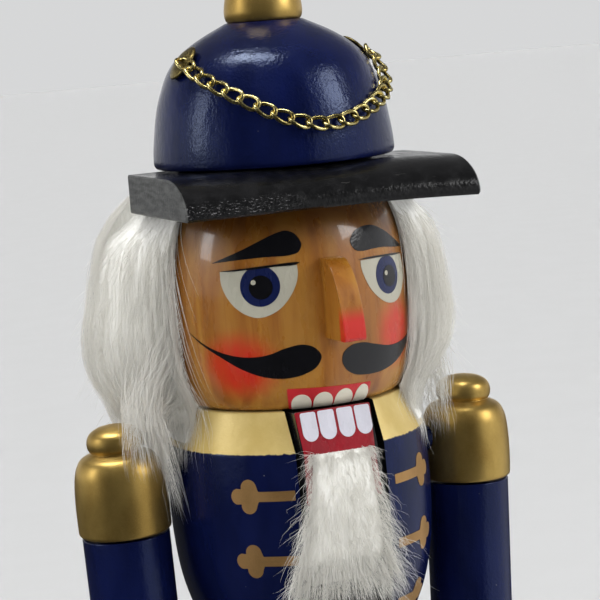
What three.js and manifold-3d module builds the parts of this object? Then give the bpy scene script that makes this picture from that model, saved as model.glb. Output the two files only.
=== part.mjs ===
// A free-standing turned-wood nutcracker soldier, 380 mm tall, as an assembly of separate pieces.
// Millimetres, +Z up, origin at the centre of the underside of the base. The figure faces -Y,
// so its right hand is at -X. The jaw, its lever and its tail are one board that turns on a steel pin;
// each arm turns on a dowel at the shoulder. Everything else is dowelled and glued.
import * as THREE from "three";
import { mergeVertices } from "three/addons/utils/BufferGeometryUtils.js";
import Module from "manifold-3d";

const wasm = await Module();
wasm.setup();

// ---------------------------------------------------------------- driving dimensions
const GAP = 0.3; // glue line or running clearance between touching pieces
const SEG = 40; // facets round the large turned pieces
const SEG_LIMB = 28; // facets round arms and legs
const SEG_PIN = 16; // facets round dowels and pins

const BASE_W = 108, BASE_D = 94, BASE_H = 30, BASE_STEP_Z = 21; // plinth, X by Y by Z
const LEG_X = 17, LEG_Y = 4, LEG_TOP = 165.6; // leg axes
const TORSO_BOTTOM = 166, TORSO_TOP = 266.7; // coat, with its collar
const BELT_Z0 = 197.3, BELT_Z1 = 204.6, BELT_R0 = 25.95, BELT_R1 = 27.4;
const SLOT_X = -0.7, SLOT_W = 23.8; // jaw slot through the coat: its middle and its width
const JAW_X = -1.5, JAW_W = 20.4; // jaw board: its middle and its thickness
const PIVOT_Y = 8, PIVOT_Z = 222, PIN_R = 2, PIN_LEN = 62; // jaw hinge
const HEAD_BOTTOM = 267, HEAD_TOP = 317.2;
const VISOR_Z0 = 317.5, VISOR_Z1 = 327.3, VISOR_L = 77.6, VISOR_FRONT = -39.7, VISOR_BACK = 3.4;
const BOSS_R = 25; // foot of the hat dome that the visor's notch fits round
const DOME_RIM = 327.6, DOME_TOP = 363.3;
const KNOB_Z = 363.6, TOP = 380;
const ARM_X = 48.9, SHOULDER_Z = 249, ARM_LEAN = 1.8; // shoulders, and how many degrees the arms lean in towards the waist
const SLEEVE_BOTTOM = 158, SLEEVE_TOP = 236.6;
const DOWEL_R = 4, NECK_DOWEL_R = 3, SHOULDER_DOWEL_R = 3.5, KNOB_DOWEL_R = 2.5;
const ROSETTE_AZ = 80, ROSETTE_Z = 354; // round brass tacks that hold the hat chain

// ---------------------------------------------------------------- solids
// A closed geometry as a solid that can be cut and joined.
function solid(geometry) {
  const g = geometry.index ? geometry.toNonIndexed() : geometry.clone();
  for (const name of Object.keys(g.attributes)) if (name !== "position") g.deleteAttribute(name);
  const m = mergeVertices(g, 1e-4);
  const src = m.index.array, keep = [];
  for (let i = 0; i < src.length; i += 3) {
    const [a, b, c] = [src[i], src[i + 1], src[i + 2]];
    if (a !== b && b !== c && c !== a) keep.push(a, b, c);
  }
  const make = (t) =>
    new wasm.Manifold(new wasm.Mesh({ numProp: 3, vertProperties: new Float32Array(m.attributes.position.array), triVerts: new Uint32Array(t) }));
  let s = make(keep);
  if (s.volume() < 0) {
    for (let i = 0; i < keep.length; i += 3) [keep[i + 1], keep[i + 2]] = [keep[i + 2], keep[i + 1]];
    s = make(keep);
  }
  return s;
}
function geometryOf(s) {
  const m = s.getMesh(), n = m.numProp, v = new Float32Array(m.numVert * 3);
  for (let i = 0; i < m.numVert; i++) v.set(m.vertProperties.subarray(i * n, i * n + 3), i * 3);
  const g = new THREE.BufferGeometry();
  g.setAttribute("position", new THREE.BufferAttribute(v, 3));
  g.setIndex(new THREE.BufferAttribute(new Uint32Array(m.triVerts), 1));
  g.computeVertexNormals();
  return g;
}
// A turned piece: [radius, z] points from the axis to the axis, about a vertical axis at x, y.
function turned(profile, segments = SEG, x = 0, y = 0) {
  const g = new THREE.LatheGeometry(profile.map(([r, z]) => new THREE.Vector2(r, z)), segments);
  g.rotateX(Math.PI / 2);
  g.translate(x, y, 0);
  return solid(g);
}
// A round rod from one point to another.
function rod(a, b, radius, segments = SEG_PIN) {
  const p = new THREE.Vector3(...a), q = new THREE.Vector3(...b), d = q.clone().sub(p);
  const g = new THREE.CylinderGeometry(radius, radius, d.length(), segments);
  g.applyQuaternion(new THREE.Quaternion().setFromUnitVectors(new THREE.Vector3(0, 1, 0), d.clone().normalize()));
  g.translate(...p.add(q).multiplyScalar(0.5).toArray());
  return solid(g);
}
// A board cut to an outline of [y, z] points, of the given thickness in X, centred on x.
function board(outline, thickness, x = 0) {
  const g = new THREE.ExtrudeGeometry(new THREE.Shape(outline.map(([y, z]) => new THREE.Vector2(y, z))), { depth: thickness, bevelEnabled: false });
  g.translate(0, 0, x - thickness / 2);
  // shape x -> Y, shape y -> Z, depth -> X
  g.applyMatrix4(new THREE.Matrix4().makeBasis(new THREE.Vector3(0, 1, 0), new THREE.Vector3(0, 0, 1), new THREE.Vector3(1, 0, 0)));
  return solid(g);
}
// A slab with rounded corners in plan.
function slab(w, d, r, z0, z1) {
  const s = new THREE.Shape(), x = w / 2, y = d / 2;
  s.moveTo(-x + r, -y);
  s.lineTo(x - r, -y); s.absarc(x - r, -y + r, r, -Math.PI / 2, 0);
  s.lineTo(x, y - r); s.absarc(x - r, y - r, r, 0, Math.PI / 2);
  s.lineTo(-x + r, y); s.absarc(-x + r, y - r, r, Math.PI / 2, Math.PI);
  s.lineTo(-x, -y + r); s.absarc(-x + r, -y + r, r, Math.PI, 1.5 * Math.PI);
  const g = new THREE.ExtrudeGeometry(s, { depth: z1 - z0, bevelEnabled: false, curveSegments: 5 });
  g.translate(0, 0, z0);
  return solid(g);
}
function block(x0, x1, y0, y1, z0, z1) {
  const g = new THREE.BoxGeometry(x1 - x0, y1 - y0, z1 - z0);
  g.translate((x0 + x1) / 2, (y0 + y1) / 2, (z0 + z1) / 2);
  return solid(g);
}
function ball(cx, cy, cz, rx, ry, rz, w = 20, h = 12) {
  const g = new THREE.SphereGeometry(1, w, h);
  g.rotateX(Math.PI / 2);
  g.scale(rx, ry, rz);
  g.translate(cx, cy, cz);
  return solid(g);
}
const bigger = (profile, by) => profile.map(([r, z]) => [r > 0 ? r + by : 0, z]);

// ---------------------------------------------------------------- finishes
const finish = (color, roughness, metalness = 0) => ({ color, roughness, metalness });
const NAVY = finish(0x1a2056, 0.35), BLACK = finish(0x151515, 0.4), GOLD = finish(0xa98c45, 0.38, 0.6);
const FACE = finish(0xb9803a, 0.3), BARE = finish(0xd2b183, 0.7), FUR = finish(0xe6e6e0, 0.9);
const CREAM = finish(0xe4dfd0, 0.45), BRASS = finish(0xc9ab5a, 0.3, 0.9), STEEL = finish(0x9a9a9a, 0.35, 0.9), RED = finish(0xa01520, 0.4);

const nutcracker = new THREE.Group();
nutcracker.name = "nutcracker_soldier";
function piece(parent, name, s, f) {
  const m = new THREE.Mesh(geometryOf(s), new THREE.MeshStandardMaterial({ color: f.color, roughness: f.roughness, metalness: f.metalness }));
  m.name = name;
  parent.add(m);
  return m;
}
const lower = new THREE.Group(), coat = new THREE.Group(), head = new THREE.Group(), hat = new THREE.Group(), jaw = new THREE.Group();
nutcracker.add(lower, coat, head, hat, jaw);

// ---------------------------------------------------------------- base and legs
const BASE_HOLE = 12; // how deep the foot dowels go
let base = slab(BASE_W, BASE_D, 9, 0, BASE_STEP_Z).add(slab(BASE_W - 9, BASE_D - 9, 6, BASE_STEP_Z - 2, BASE_H));
for (const s of [-1, 1]) base = base.subtract(rod([s * LEG_X, LEG_Y, BASE_H - BASE_HOLE - GAP], [s * LEG_X, LEG_Y, BASE_H + 5], DOWEL_R + GAP));
piece(lower, "base_block", base, BLACK);

// Each leg is one turned piece: boot with a rolled top, then the trouser leg.
const LEG = [[0, BASE_H + GAP], [13.6, BASE_H + GAP], [14, 32], [13, 46], [12.3, 60], [12.9, 79], [14.7, 90.5], [15.2, 94.5], [14.6, 97.4], [13.2, 98.4],
  [13.6, 112], [14.5, 136], [14.7, 153], [13.8, 163], [12.6, LEG_TOP], [0, LEG_TOP]];
for (const [s, side] of [[-1, "right"], [1, "left"]]) {
  const x = s * LEG_X;
  let leg = turned(LEG, SEG_LIMB, x, LEG_Y);
  leg = leg.subtract(rod([x, LEG_Y, 20], [x, LEG_Y, 46 + GAP], DOWEL_R + GAP)).subtract(rod([x, LEG_Y, 150 - GAP], [x, LEG_Y, 175], DOWEL_R + GAP));
  piece(lower, "leg_" + side, leg, CREAM);
  // Rounded toe, glued to the front of the boot.
  const toe = ball(s * (LEG_X + 1), -8.5, BASE_H + GAP, 12, 18.5, 12.5, 24, 12)
    .subtract(block(-60, 60, -60, 60, 0, BASE_H + GAP))
    .subtract(turned(bigger(LEG, 0.5), SEG_LIMB, x, LEG_Y))
    .subtract(block(-60, 60, LEG_Y - 6, 60, 0, 80))
    .subtract(s < 0 ? block(-0.6, 60, -60, 60, 0, 80) : block(-60, 0.6, -60, 60, 0, 80));
  piece(lower, "toe_" + side, toe, BLACK);
  piece(lower, "foot_dowel_" + side, rod([x, LEG_Y, BASE_H - BASE_HOLE], [x, LEG_Y, 46], DOWEL_R), BARE);
  piece(lower, "hip_dowel_" + side, rod([x, LEG_Y, 150], [x, LEG_Y, 181], DOWEL_R), BARE);
}

// ---------------------------------------------------------------- coat
// One turning: skirt, belt groove, chest and flared collar, with the jaw slot sawn through from front to back.
const COAT = [[0, TORSO_BOTTOM], [31.4, TORSO_BOTTOM], [33.2, 167.4], [33.6, 171], [32.3, 180], [29.6, 189], [27, 195.4], [25.6, 196.8], [25.6, 205.1],
  [26.8, 206], [28.8, 209.5], [31.2, 215.5], [33, 223], [34, 232], [34.3, 240], [34.1, 248], [33.5, 256.7], [31, 261.7], [28.6, TORSO_TOP], [0, TORSO_TOP]];
const SLOT = [[-60, 204.9], [-22, 205.6], [-5, 209], [60, 209], [60, 249], [12, 249], [6, 256], [6, 280], [-60, 280]];
const NECK_X = 20, NECK_Y = 10;
let torso = turned(COAT).subtract(board(SLOT, SLOT_W, SLOT_X));
torso = torso.subtract(rod([-36, PIVOT_Y, PIVOT_Z], [36, PIVOT_Y, PIVOT_Z], PIN_R + GAP));
for (const s of [-1, 1])
  torso = torso
    .subtract(rod([s * LEG_X, LEG_Y, 150], [s * LEG_X, LEG_Y, 181 + GAP], DOWEL_R + GAP))
    .subtract(rod([s * NECK_X, NECK_Y, 255 - GAP], [s * NECK_X, NECK_Y, 275], NECK_DOWEL_R + GAP))
    .subtract(rod([s * (22 - GAP), 0, SHOULDER_Z], [s * 40, 0, SHOULDER_Z], SHOULDER_DOWEL_R + GAP));
piece(coat, "torso", torso, NAVY);
piece(coat, "belt", turned([[BELT_R0, BELT_Z0], [BELT_R1, BELT_Z0], [BELT_R1, BELT_Z1], [BELT_R0, BELT_Z1], [BELT_R0, BELT_Z0]]), GOLD);
piece(coat, "belt_buckle", block(-7, 7, -29.3, -BELT_R1 - GAP, 196.4, 205.6).subtract(block(-3.8, 3.8, -40, -28.6, 198.8, 203.2)), BRASS);
piece(coat, "jaw_pivot_pin", rod([-PIN_LEN / 2, PIVOT_Y, PIVOT_Z], [PIN_LEN / 2, PIVOT_Y, PIVOT_Z], PIN_R), STEEL);
for (const [s, side] of [[-1, "right"], [1, "left"]])
  piece(coat, "neck_dowel_" + side, rod([s * NECK_X, NECK_Y, 255], [s * NECK_X, NECK_Y, 279], NECK_DOWEL_R), BARE);

// ---------------------------------------------------------------- jaw
// One board: the jaw in front, an arm through the slot to the pin, and the tail behind the back that is lifted to open the mouth.
const LEVER = [[-30, 266.4], [-33.2, 256.6], [-33.8, 249], [-34, 240], [-33.7, 231], [-32.8, 224], [-30.5, 222], [-14, 219], [8, 211.6], [30, 212.2],
  [36.6, 209.5], [36.9, 190], [37.1, 168], [37.8, 152], [39.4, 143.5], [41.8, 140.6], [44.8, 141.2], [46.8, 145.5], [46.8, 160], [46.6, 190], [46.2, 219], [44.8, 227.6], [40.4, 232.6],
  [30, 234.4], [8, 233.6], [-6, 236], [-10, 242], [-11, 252], [-11, 266.4]];
piece(jaw, "jaw_lever", board(LEVER, JAW_W, JAW_X).subtract(rod([-20, PIVOT_Y, PIVOT_Z], [20, PIVOT_Y, PIVOT_Z], PIN_R + GAP)), BLACK);
// Fur beard glued to the front of the jaw: a plain block of its size.
{
  const s = new THREE.Shape([[-8.4, 256.2], [8.4, 256.2], [9.6, 240], [12.2, 228], [13.4, 221.5], [10, 219], [-10, 219], [-13.4, 221.5], [-12.2, 228], [-9.6, 240]].map(([x, z]) => new THREE.Vector2(x, z)));
  const g = new THREE.ExtrudeGeometry(s, { depth: 7, bevelEnabled: false });
  g.rotateX(Math.PI / 2);
  g.translate(JAW_X, -34.6, 0);
  piece(jaw, "beard", solid(g), FUR);
}

// ---------------------------------------------------------------- head
const HEAD = [[0, HEAD_BOTTOM], [27.4, HEAD_BOTTOM], [28.5, 267.9], [30.2, 271], [31.5, 276], [32.2, 283], [32.4, 291], [32.2, 299], [31.3, 306.5], [29.8, 312.5], [27.9, HEAD_TOP], [0, HEAD_TOP]];
let skull = turned(HEAD).subtract(rod([0, 0, 304.7], [0, 0, 330], DOWEL_R + GAP));
for (const s of [-1, 1]) skull = skull.subtract(rod([s * NECK_X, NECK_Y, 260], [s * NECK_X, NECK_Y, 279 + GAP], NECK_DOWEL_R + GAP));
piece(head, "head", skull, FACE);
// Wedge nose, glued on.
piece(head, "nose", board([[-32.75, 304.6], [-36.2, 304.2], [-40, 301.2], [-42.5, 297.6], [-44.2, 292.6], [-44.9, 288], [-44.8, 285], [-32.75, 284.6]], 5.2), FACE);
// Fur wig round the sides and back: a plain thick shell that follows the head.
{
  const outer = [[0, 268.4], [36.5, 268.4], [42.5, 270], [46, 276], [47, 284], [45.5, 294], [43, 304], [40, 312], [37, 316.9], [0, 316.9]];
  const inner = bigger(HEAD.map(([r, z], i) => [r, i < 2 ? 260 : i > 9 ? 330 : z]), 0.6);
  let fur = turned(outer, 32).subtract(turned(inner, SEG));
  const wedge = new THREE.Shape([[0, 0], [-70, -13], [-70, -90], [70, -90], [70, -13]].map(([x, y]) => new THREE.Vector2(x, y)));
  const g = new THREE.ExtrudeGeometry(wedge, { depth: 120, bevelEnabled: false });
  g.translate(0, 0, 240);
  // Behind the visor it reaches up to the rim of the hat.
  const crown = turned([[25.6, 316], [34, 316], [33.4, 322], [32.2, 327], [25.6, 327], [25.6, 316]], 32).subtract(block(-60, 60, -60, VISOR_BACK + 0.8, 300, 340));
  fur = fur.subtract(solid(g)).add(crown.subtract(rod([0, 0, 300], [0, 0, HEAD_TOP + GAP], 29.5, SEG)));
  piece(head, "hair", fur, FUR);
}
piece(head, "hat_dowel", rod([0, 0, 305], [0, 0, 340], DOWEL_R), BARE);

// ---------------------------------------------------------------- hat
// The visor is a board with a rounded front edge and a round notch behind, which fits the foot of the dome.
{
  const round = [];
  for (let i = 0; i <= 7; i++) {
    const a = (i / 7) * (Math.PI / 2);
    round.push([VISOR_FRONT + 14.5 * (1 - Math.sin(Math.PI / 2 - a)), VISOR_Z0 + 0.9 + (VISOR_Z1 - VISOR_Z0 - 0.9) * Math.cos(a)]);
  }
  // from the back, along the top, round the front edge and back along the underside
  const outline = [[VISOR_BACK, VISOR_Z0], [VISOR_BACK, VISOR_Z1], ...round, [VISOR_FRONT + 0.6, VISOR_Z0]];
  const plain = board(outline, VISOR_L);
  piece(hat, "visor", plain.subtract(rod([0, 0, 300], [0, 0, 340], BOSS_R + 0.4, SEG)), BLACK);
}
const DOME = [[0, VISOR_Z0], [BOSS_R, VISOR_Z0], [BOSS_R, DOME_RIM], [30.7, DOME_RIM], [31, 328.4], [31, 331], [30.6, 334.7], [29.6, 341], [28.65, 344.7], [27.5, 348], [25.9, 351.6], [23.9, 354.4], [21.9, 356.3], [19.8, 357.9], [17.3, 359.5], [14.3, 361.1], [11.6, 362.4], [9.8, DOME_TOP], [0, DOME_TOP]];
const radiusAt = (z) => {
  const p = DOME.slice(4);
  for (let i = 0; i + 1 < p.length; i++) if (z <= p[i + 1][1]) return p[i][0] + ((p[i + 1][0] - p[i][0]) * (z - p[i][1])) / (p[i + 1][1] - p[i][1]);
  return 0;
};
const onDome = (az, z, out) => {
  const a = THREE.MathUtils.degToRad(az), e = 0.5;
  const slope = (radiusAt(z + e) - radiusAt(z - e)) / (2 * e), n = Math.hypot(1, slope);
  const r = radiusAt(z) + out / n;
  return { p: [r * Math.sin(a), -r * Math.cos(a), z - (out * slope) / n], n: [Math.sin(a) / n, -Math.cos(a) / n, -slope / n] };
};
let dome = turned(DOME).subtract(rod([0, 0, 300], [0, 0, 340 + GAP], DOWEL_R + GAP)).subtract(rod([0, 0, 355 - GAP], [0, 0, 380], KNOB_DOWEL_R + GAP));
for (const [s, side] of [[-1, "right"], [1, "left"]]) {
  const at = onDome(s * ROSETTE_AZ, ROSETTE_Z, 0), p = new THREE.Vector3(...at.p), n = new THREE.Vector3(...at.n);
  dome = dome.subtract(rod(p.clone().addScaledVector(n, -8.3).toArray(), p.clone().addScaledVector(n, 4).toArray(), 1.2, 12));
  // Brass tack: a shallow domed head on a short shank.
  const g = new THREE.LatheGeometry([[0, -8], [0.85, -7], [0.85, 0.45], [4.8, 0.6], [4.9, 1], [4.1, 1.7], [2.4, 2.2], [0, 2.4]].map(([r, y]) => new THREE.Vector2(r, y)), 20);
  g.applyQuaternion(new THREE.Quaternion().setFromUnitVectors(new THREE.Vector3(0, 1, 0), n));
  g.translate(...p.toArray());
  piece(hat, "rosette_" + side, solid(g), BRASS);
}
piece(hat, "hat_dome", dome, NAVY);
piece(hat, "hat_knob", turned([[0, KNOB_Z], [9.2, KNOB_Z], [9.8, 364], [10.05, 365.2], [10, 366.8], [9.7, 368.7], [9, 371.5], [7.8, 374.6], [6, 377.3], [3.6, 379.2], [0, TOP]], 28)
  .subtract(rod([0, 0, 350], [0, 0, 373 + GAP], KNOB_DOWEL_R + GAP)), GOLD);
piece(hat, "knob_dowel", rod([0, 0, 355], [0, 0, 373], KNOB_DOWEL_R), BARE);
// The brass chain hangs across the front of the dome from tack to tack: a plain rope of its thickness.
{
  const route = [[-66.5, 352.4], [-60, 350.8], [-53.6, 349.2], [-42.5, 346.5], [-30.2, 343.4], [-19.5, 340.6], [-8.7, 338.3], [2.6, 337.2], [12.9, 337.5], [23.9, 338.8], [36.2, 340.9], [50.3, 343.4], [60.5, 346.2], [66.5, 349.6]];
  const curve = new THREE.CatmullRomCurve3(route.map(([a, z]) => new THREE.Vector3(...onDome(a, z, 1.75).p)));
  const ring = new THREE.Shape();
  for (let i = 0; i < 8; i++) ring[i ? "lineTo" : "moveTo"](1.3 * Math.cos((i * Math.PI) / 4), 1.3 * Math.sin((i * Math.PI) / 4));
  ring.closePath();
  piece(hat, "hat_chain", solid(new THREE.ExtrudeGeometry(ring, { steps: 30, bevelEnabled: false, extrudePath: curve })), BRASS);
}

// ---------------------------------------------------------------- arms
const CAP = [[0, 237.1], [11.4, 237.1], [11.9, 238], [11.9, 245], [11.6, 250], [10.9, 254], [9.5, 256.6], [7.4, 257.8], [6.5, 258.2], [7.1, 259.1], [7.3, 260.8], [6.6, 262.8], [4.6, 264.2], [2, 264.8], [0, 264.9]];
for (const [s, side] of [[-1, "right"], [1, "left"]]) {
  const arm = new THREE.Group();
  nutcracker.add(arm);
  const x = s * ARM_X;
  const lean = (m) => m.translate(-x, 0, -SHOULDER_Z).rotate([0, s * ARM_LEAN, 0]).translate(x, 0, SHOULDER_Z);
  // Turned shoulder cap, over a spigot on the sleeve.
  piece(arm, "epaulette_" + side, lean(turned(CAP, SEG_LIMB, x, 0).subtract(rod([x, 0, 230], [x, 0, 243.4], 6 + GAP)))
    .subtract(rod([s * 34, 0, SHOULDER_Z], [s * (52 + GAP), 0, SHOULDER_Z], SHOULDER_DOWEL_R + GAP)), GOLD);
  piece(arm, "sleeve_" + side, lean(turned([[0, SLEEVE_BOTTOM], [10.6, SLEEVE_BOTTOM], [11, 196], [11.2, SLEEVE_TOP], [6, SLEEVE_TOP], [6, 243], [0, 243]], SEG_LIMB, x, 0)
    .subtract(rod([x, 0, 150], [x, 0, 166.3], DOWEL_R + GAP))), NAVY);
  piece(arm, "cuff_" + side, lean(turned([[DOWEL_R + GAP, 150], [11.7, 150], [12.2, 151], [12.2, 156.6], [11.6, 157.7], [DOWEL_R + GAP, 157.7], [DOWEL_R + GAP, 150]], SEG_LIMB, x, 0)), GOLD);
  // Turned hand with a thumb, on a spigot that goes through the cuff into the sleeve.
  piece(arm, "hand_" + side, lean(turned([[0, 127], [4.6, 127.8], [8.2, 131.5], [9.5, 137.5], [8.6, 144], [6.8, 149.6], [DOWEL_R, 149.7], [DOWEL_R, 166], [0, 166]], 24, x, 0)
    .add(ball(x - s * 2, -8, 139.5, 3.1, 3.6, 6, 14, 9))), FACE);
  piece(coat, "shoulder_dowel_" + side, rod([s * 22, 0, SHOULDER_Z], [s * 52, 0, SHOULDER_Z], SHOULDER_DOWEL_R), BARE);
}

export default nutcracker;
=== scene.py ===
import math

import bpy
import numpy as np
from mathutils import Matrix, Vector
from mathutils.geometry import delaunay_2d_cdt


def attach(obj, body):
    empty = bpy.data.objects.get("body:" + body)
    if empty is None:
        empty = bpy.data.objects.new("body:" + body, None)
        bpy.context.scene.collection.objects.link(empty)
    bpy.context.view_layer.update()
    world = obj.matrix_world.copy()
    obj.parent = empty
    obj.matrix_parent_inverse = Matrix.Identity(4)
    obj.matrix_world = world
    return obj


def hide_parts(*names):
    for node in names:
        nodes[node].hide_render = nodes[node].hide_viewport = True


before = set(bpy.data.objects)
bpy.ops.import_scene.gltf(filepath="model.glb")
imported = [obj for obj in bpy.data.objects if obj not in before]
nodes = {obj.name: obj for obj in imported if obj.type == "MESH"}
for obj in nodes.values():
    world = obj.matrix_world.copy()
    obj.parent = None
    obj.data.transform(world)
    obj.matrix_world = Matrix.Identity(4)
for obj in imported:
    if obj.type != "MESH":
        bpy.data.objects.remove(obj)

# All shape numbers below are millimetres in the row frame: +Z up, the figure faces -Y, its right hand is at -X.
MM = 0.001
scene = bpy.context.scene
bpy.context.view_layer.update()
rng = np.random.default_rng(20417)


# ------------------------------------------------------------------ materials
class Mat:
    """A principled material with small helpers for its texture nodes. Texture space is the row frame in millimetres."""

    def __init__(self, name, rough=0.4, metal=0.0, coat=0.0, coat_rough=0.1, spec=0.5, sheen=0.0, ior=1.5):
        self.m = bpy.data.materials.new(name)
        self.m.use_nodes = True
        self.nt = self.m.node_tree
        self.nt.nodes.clear()
        out = self.nt.nodes.new("ShaderNodeOutputMaterial")
        self.b = self.nt.nodes.new("ShaderNodeBsdfPrincipled")
        self.nt.links.new(self.b.outputs[0], out.inputs[0])
        i = self.b.inputs
        i["Roughness"].default_value = rough
        i["Metallic"].default_value = metal
        i["Coat Weight"].default_value = coat
        i["Coat Roughness"].default_value = coat_rough
        i["Specular IOR Level"].default_value = spec
        i["Sheen Weight"].default_value = sheen
        i["IOR"].default_value = ior
        self.tc = self.nt.nodes.new("ShaderNodeTexCoord")

    def put(self, socket, value):
        if hasattr(value, "links"):
            self.nt.links.new(value, socket)
        else:
            socket.default_value = value

    def coords(self, scale=(1, 1, 1), rot=(0, 0, 0), loc=(0, 0, 0)):
        n = self.nt.nodes.new("ShaderNodeMapping")
        n.inputs["Scale"].default_value = [1000 * s for s in scale]
        n.inputs["Rotation"].default_value = rot
        n.inputs["Location"].default_value = loc
        self.nt.links.new(self.tc.outputs["Object"], n.inputs["Vector"])
        return n.outputs[0]

    def noise(self, vec, scale=1.0, detail=3.0, rough=0.55, distort=0.0):
        n = self.nt.nodes.new("ShaderNodeTexNoise")
        n.inputs["Scale"].default_value = scale
        n.inputs["Detail"].default_value = detail
        n.inputs["Roughness"].default_value = rough
        n.inputs["Distortion"].default_value = distort
        self.nt.links.new(vec, n.inputs["Vector"])
        return n.outputs["Fac"]

    def voronoi(self, vec, scale=1.0, feature="F1"):
        n = self.nt.nodes.new("ShaderNodeTexVoronoi")
        n.feature = feature
        n.inputs["Scale"].default_value = scale
        self.nt.links.new(vec, n.inputs["Vector"])
        return n.outputs["Distance"]

    def wave(self, vec, scale=1.0, distort=3.0, detail=2.0, direction="X", dscale=1.0):
        n = self.nt.nodes.new("ShaderNodeTexWave")
        n.bands_direction = direction
        n.inputs["Scale"].default_value = scale
        n.inputs["Distortion"].default_value = distort
        n.inputs["Detail"].default_value = detail
        n.inputs["Detail Scale"].default_value = dscale
        self.nt.links.new(vec, n.inputs["Vector"])
        return n.outputs["Fac"]

    def ramp(self, fac, stops, interp="LINEAR"):
        n = self.nt.nodes.new("ShaderNodeValToRGB")
        n.color_ramp.interpolation = interp
        e = n.color_ramp.elements
        while len(e) < len(stops):
            e.new(0.5)
        for el, (p, c) in zip(e, stops):
            el.position = p
            el.color = (*c, 1) if hasattr(c, "__len__") else (c, c, c, 1)
        self.nt.links.new(fac, n.inputs[0])
        return n.outputs[0]

    def range(self, val, a, b, c=0.0, d=1.0, kind="SMOOTHSTEP"):
        n = self.nt.nodes.new("ShaderNodeMapRange")
        n.interpolation_type = kind
        for s, v in zip(("From Min", "From Max", "To Min", "To Max"), (a, b, c, d)):
            n.inputs[s].default_value = v
        self.put(n.inputs["Value"], val)
        return n.outputs[0]

    def math(self, op, a, b=0.0):
        n = self.nt.nodes.new("ShaderNodeMath")
        n.operation = op
        self.put(n.inputs[0], a)
        self.put(n.inputs[1], b)
        return n.outputs[0]

    def mix(self, fac, a, b):
        n = self.nt.nodes.new("ShaderNodeMix")
        n.data_type = "RGBA"
        self.put(n.inputs[0], fac)
        for s, v in ((n.inputs[6], a), (n.inputs[7], b)):
            self.put(s, v if hasattr(v, "links") else (*v, 1))
        return n.outputs[2]

    def dist(self, point_mm, scale=(1, 1, 1)):
        v = self.coords(scale)
        n = self.nt.nodes.new("ShaderNodeVectorMath")
        n.operation = "DISTANCE"
        self.nt.links.new(v, n.inputs[0])
        n.inputs[1].default_value = [p * s for p, s in zip(point_mm, scale)]
        return n.outputs["Value"]

    def xyz(self):
        n = self.nt.nodes.new("ShaderNodeSeparateXYZ")
        self.nt.links.new(self.coords(), n.inputs[0])
        return n.outputs[0], n.outputs[1], n.outputs[2]

    def bump(self, height, strength, mm):
        n = self.nt.nodes.new("ShaderNodeBump")
        n.inputs["Strength"].default_value = strength
        n.inputs["Distance"].default_value = mm * MM
        self.nt.links.new(height, n.inputs["Height"])
        if self.b.inputs["Normal"].links:
            self.nt.links.new(self.b.inputs["Normal"].links[0].from_socket, n.inputs["Normal"])
        self.nt.links.new(n.outputs[0], self.b.inputs["Normal"])

    def color(self, v):
        self.put(self.b.inputs["Base Color"], v if hasattr(v, "links") else (*v, 1))

    def rough(self, v):
        self.put(self.b.inputs["Roughness"], v)

    def island(self):
        return self.nt.nodes.new("ShaderNodeNewGeometry").outputs["Random Per Island"]


def lin(r, g, b):
    """sRGB 0..255 to the linear values that the shaders take."""
    return tuple(((c / 255 + 0.055) / 1.055) ** 2.4 if c > 10.31 else c / 255 / 12.92 for c in (r, g, b))


def gloss_paint(name, base, rough=0.22, coat=0.35, grain=0.7, mottle=0.25, specks=True, light=None, peel=0.75, tint=(1, 1, 1)):
    """Brushed gloss paint over turned wood: slight colour mottle, orange peel, a hint of the grain, dust specks."""
    p = Mat(name, rough=rough, coat=coat, coat_rough=0.07, spec=0.42)
    p.b.inputs["Specular Tint"].default_value = (*tint, 1)
    dark = tuple(c * (1 - mottle) for c in base)
    lite = light or tuple(min(1, c * (1 + mottle)) for c in base)
    col = p.mix(p.range(p.noise(p.coords((0.10, 0.10, 0.035)), 1.0, 4), 0.3, 0.7), dark, lite)
    if specks:
        s = p.range(p.voronoi(p.coords(), 0.42), 0.075, 0.045)
        keep = p.range(p.noise(p.coords(), 0.21, 1), 0.60, 0.66)
        col = p.mix(p.math("MULTIPLY", p.math("MULTIPLY", s, keep), 0.5), col, (0.35, 0.33, 0.32))
    p.color(col)
    p.rough(p.range(p.noise(p.coords((0.16, 0.16, 0.05)), 1.0, 4), 0.25, 0.75, rough * 0.75, rough * 1.45))
    p.bump(p.noise(p.coords(), 0.22, 2), 0.35, 0.35)
    p.bump(p.noise(p.coords(), 0.5, 2), 0.25, 0.22)
    p.bump(p.noise(p.coords(), 1.5, 2), peel, 0.07)
    p.bump(p.noise(p.coords((0.8, 0.8, 0.05)), 1.0, 4), grain, 0.09)
    return p.m


def metallic_paint(name, base, dark, rough=0.36, metal=0.8):
    """Metallic paint: fine flakes, brushed mottle, darker in patches."""
    p = Mat(name, rough=rough, metal=metal)
    big = p.range(p.noise(p.coords((0.11, 0.11, 0.06)), 1.0, 5), 0.3, 0.72)
    col = p.mix(big, dark, base)
    flake = p.range(p.noise(p.coords(), 7.0, 1), 0.35, 0.7)
    col = p.mix(p.math("MULTIPLY", flake, 0.30), col, tuple(min(1, c * 1.35) for c in base))
    p.color(col)
    p.rough(p.range(p.noise(p.coords(), 0.12, 3), 0.25, 0.75, rough * 0.9, rough * 1.15))
    p.bump(p.noise(p.coords(), 0.18, 2), 0.12, 0.3)
    p.bump(p.noise(p.coords(), 6.0, 1), 0.03, 0.05)
    return p.m


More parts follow.
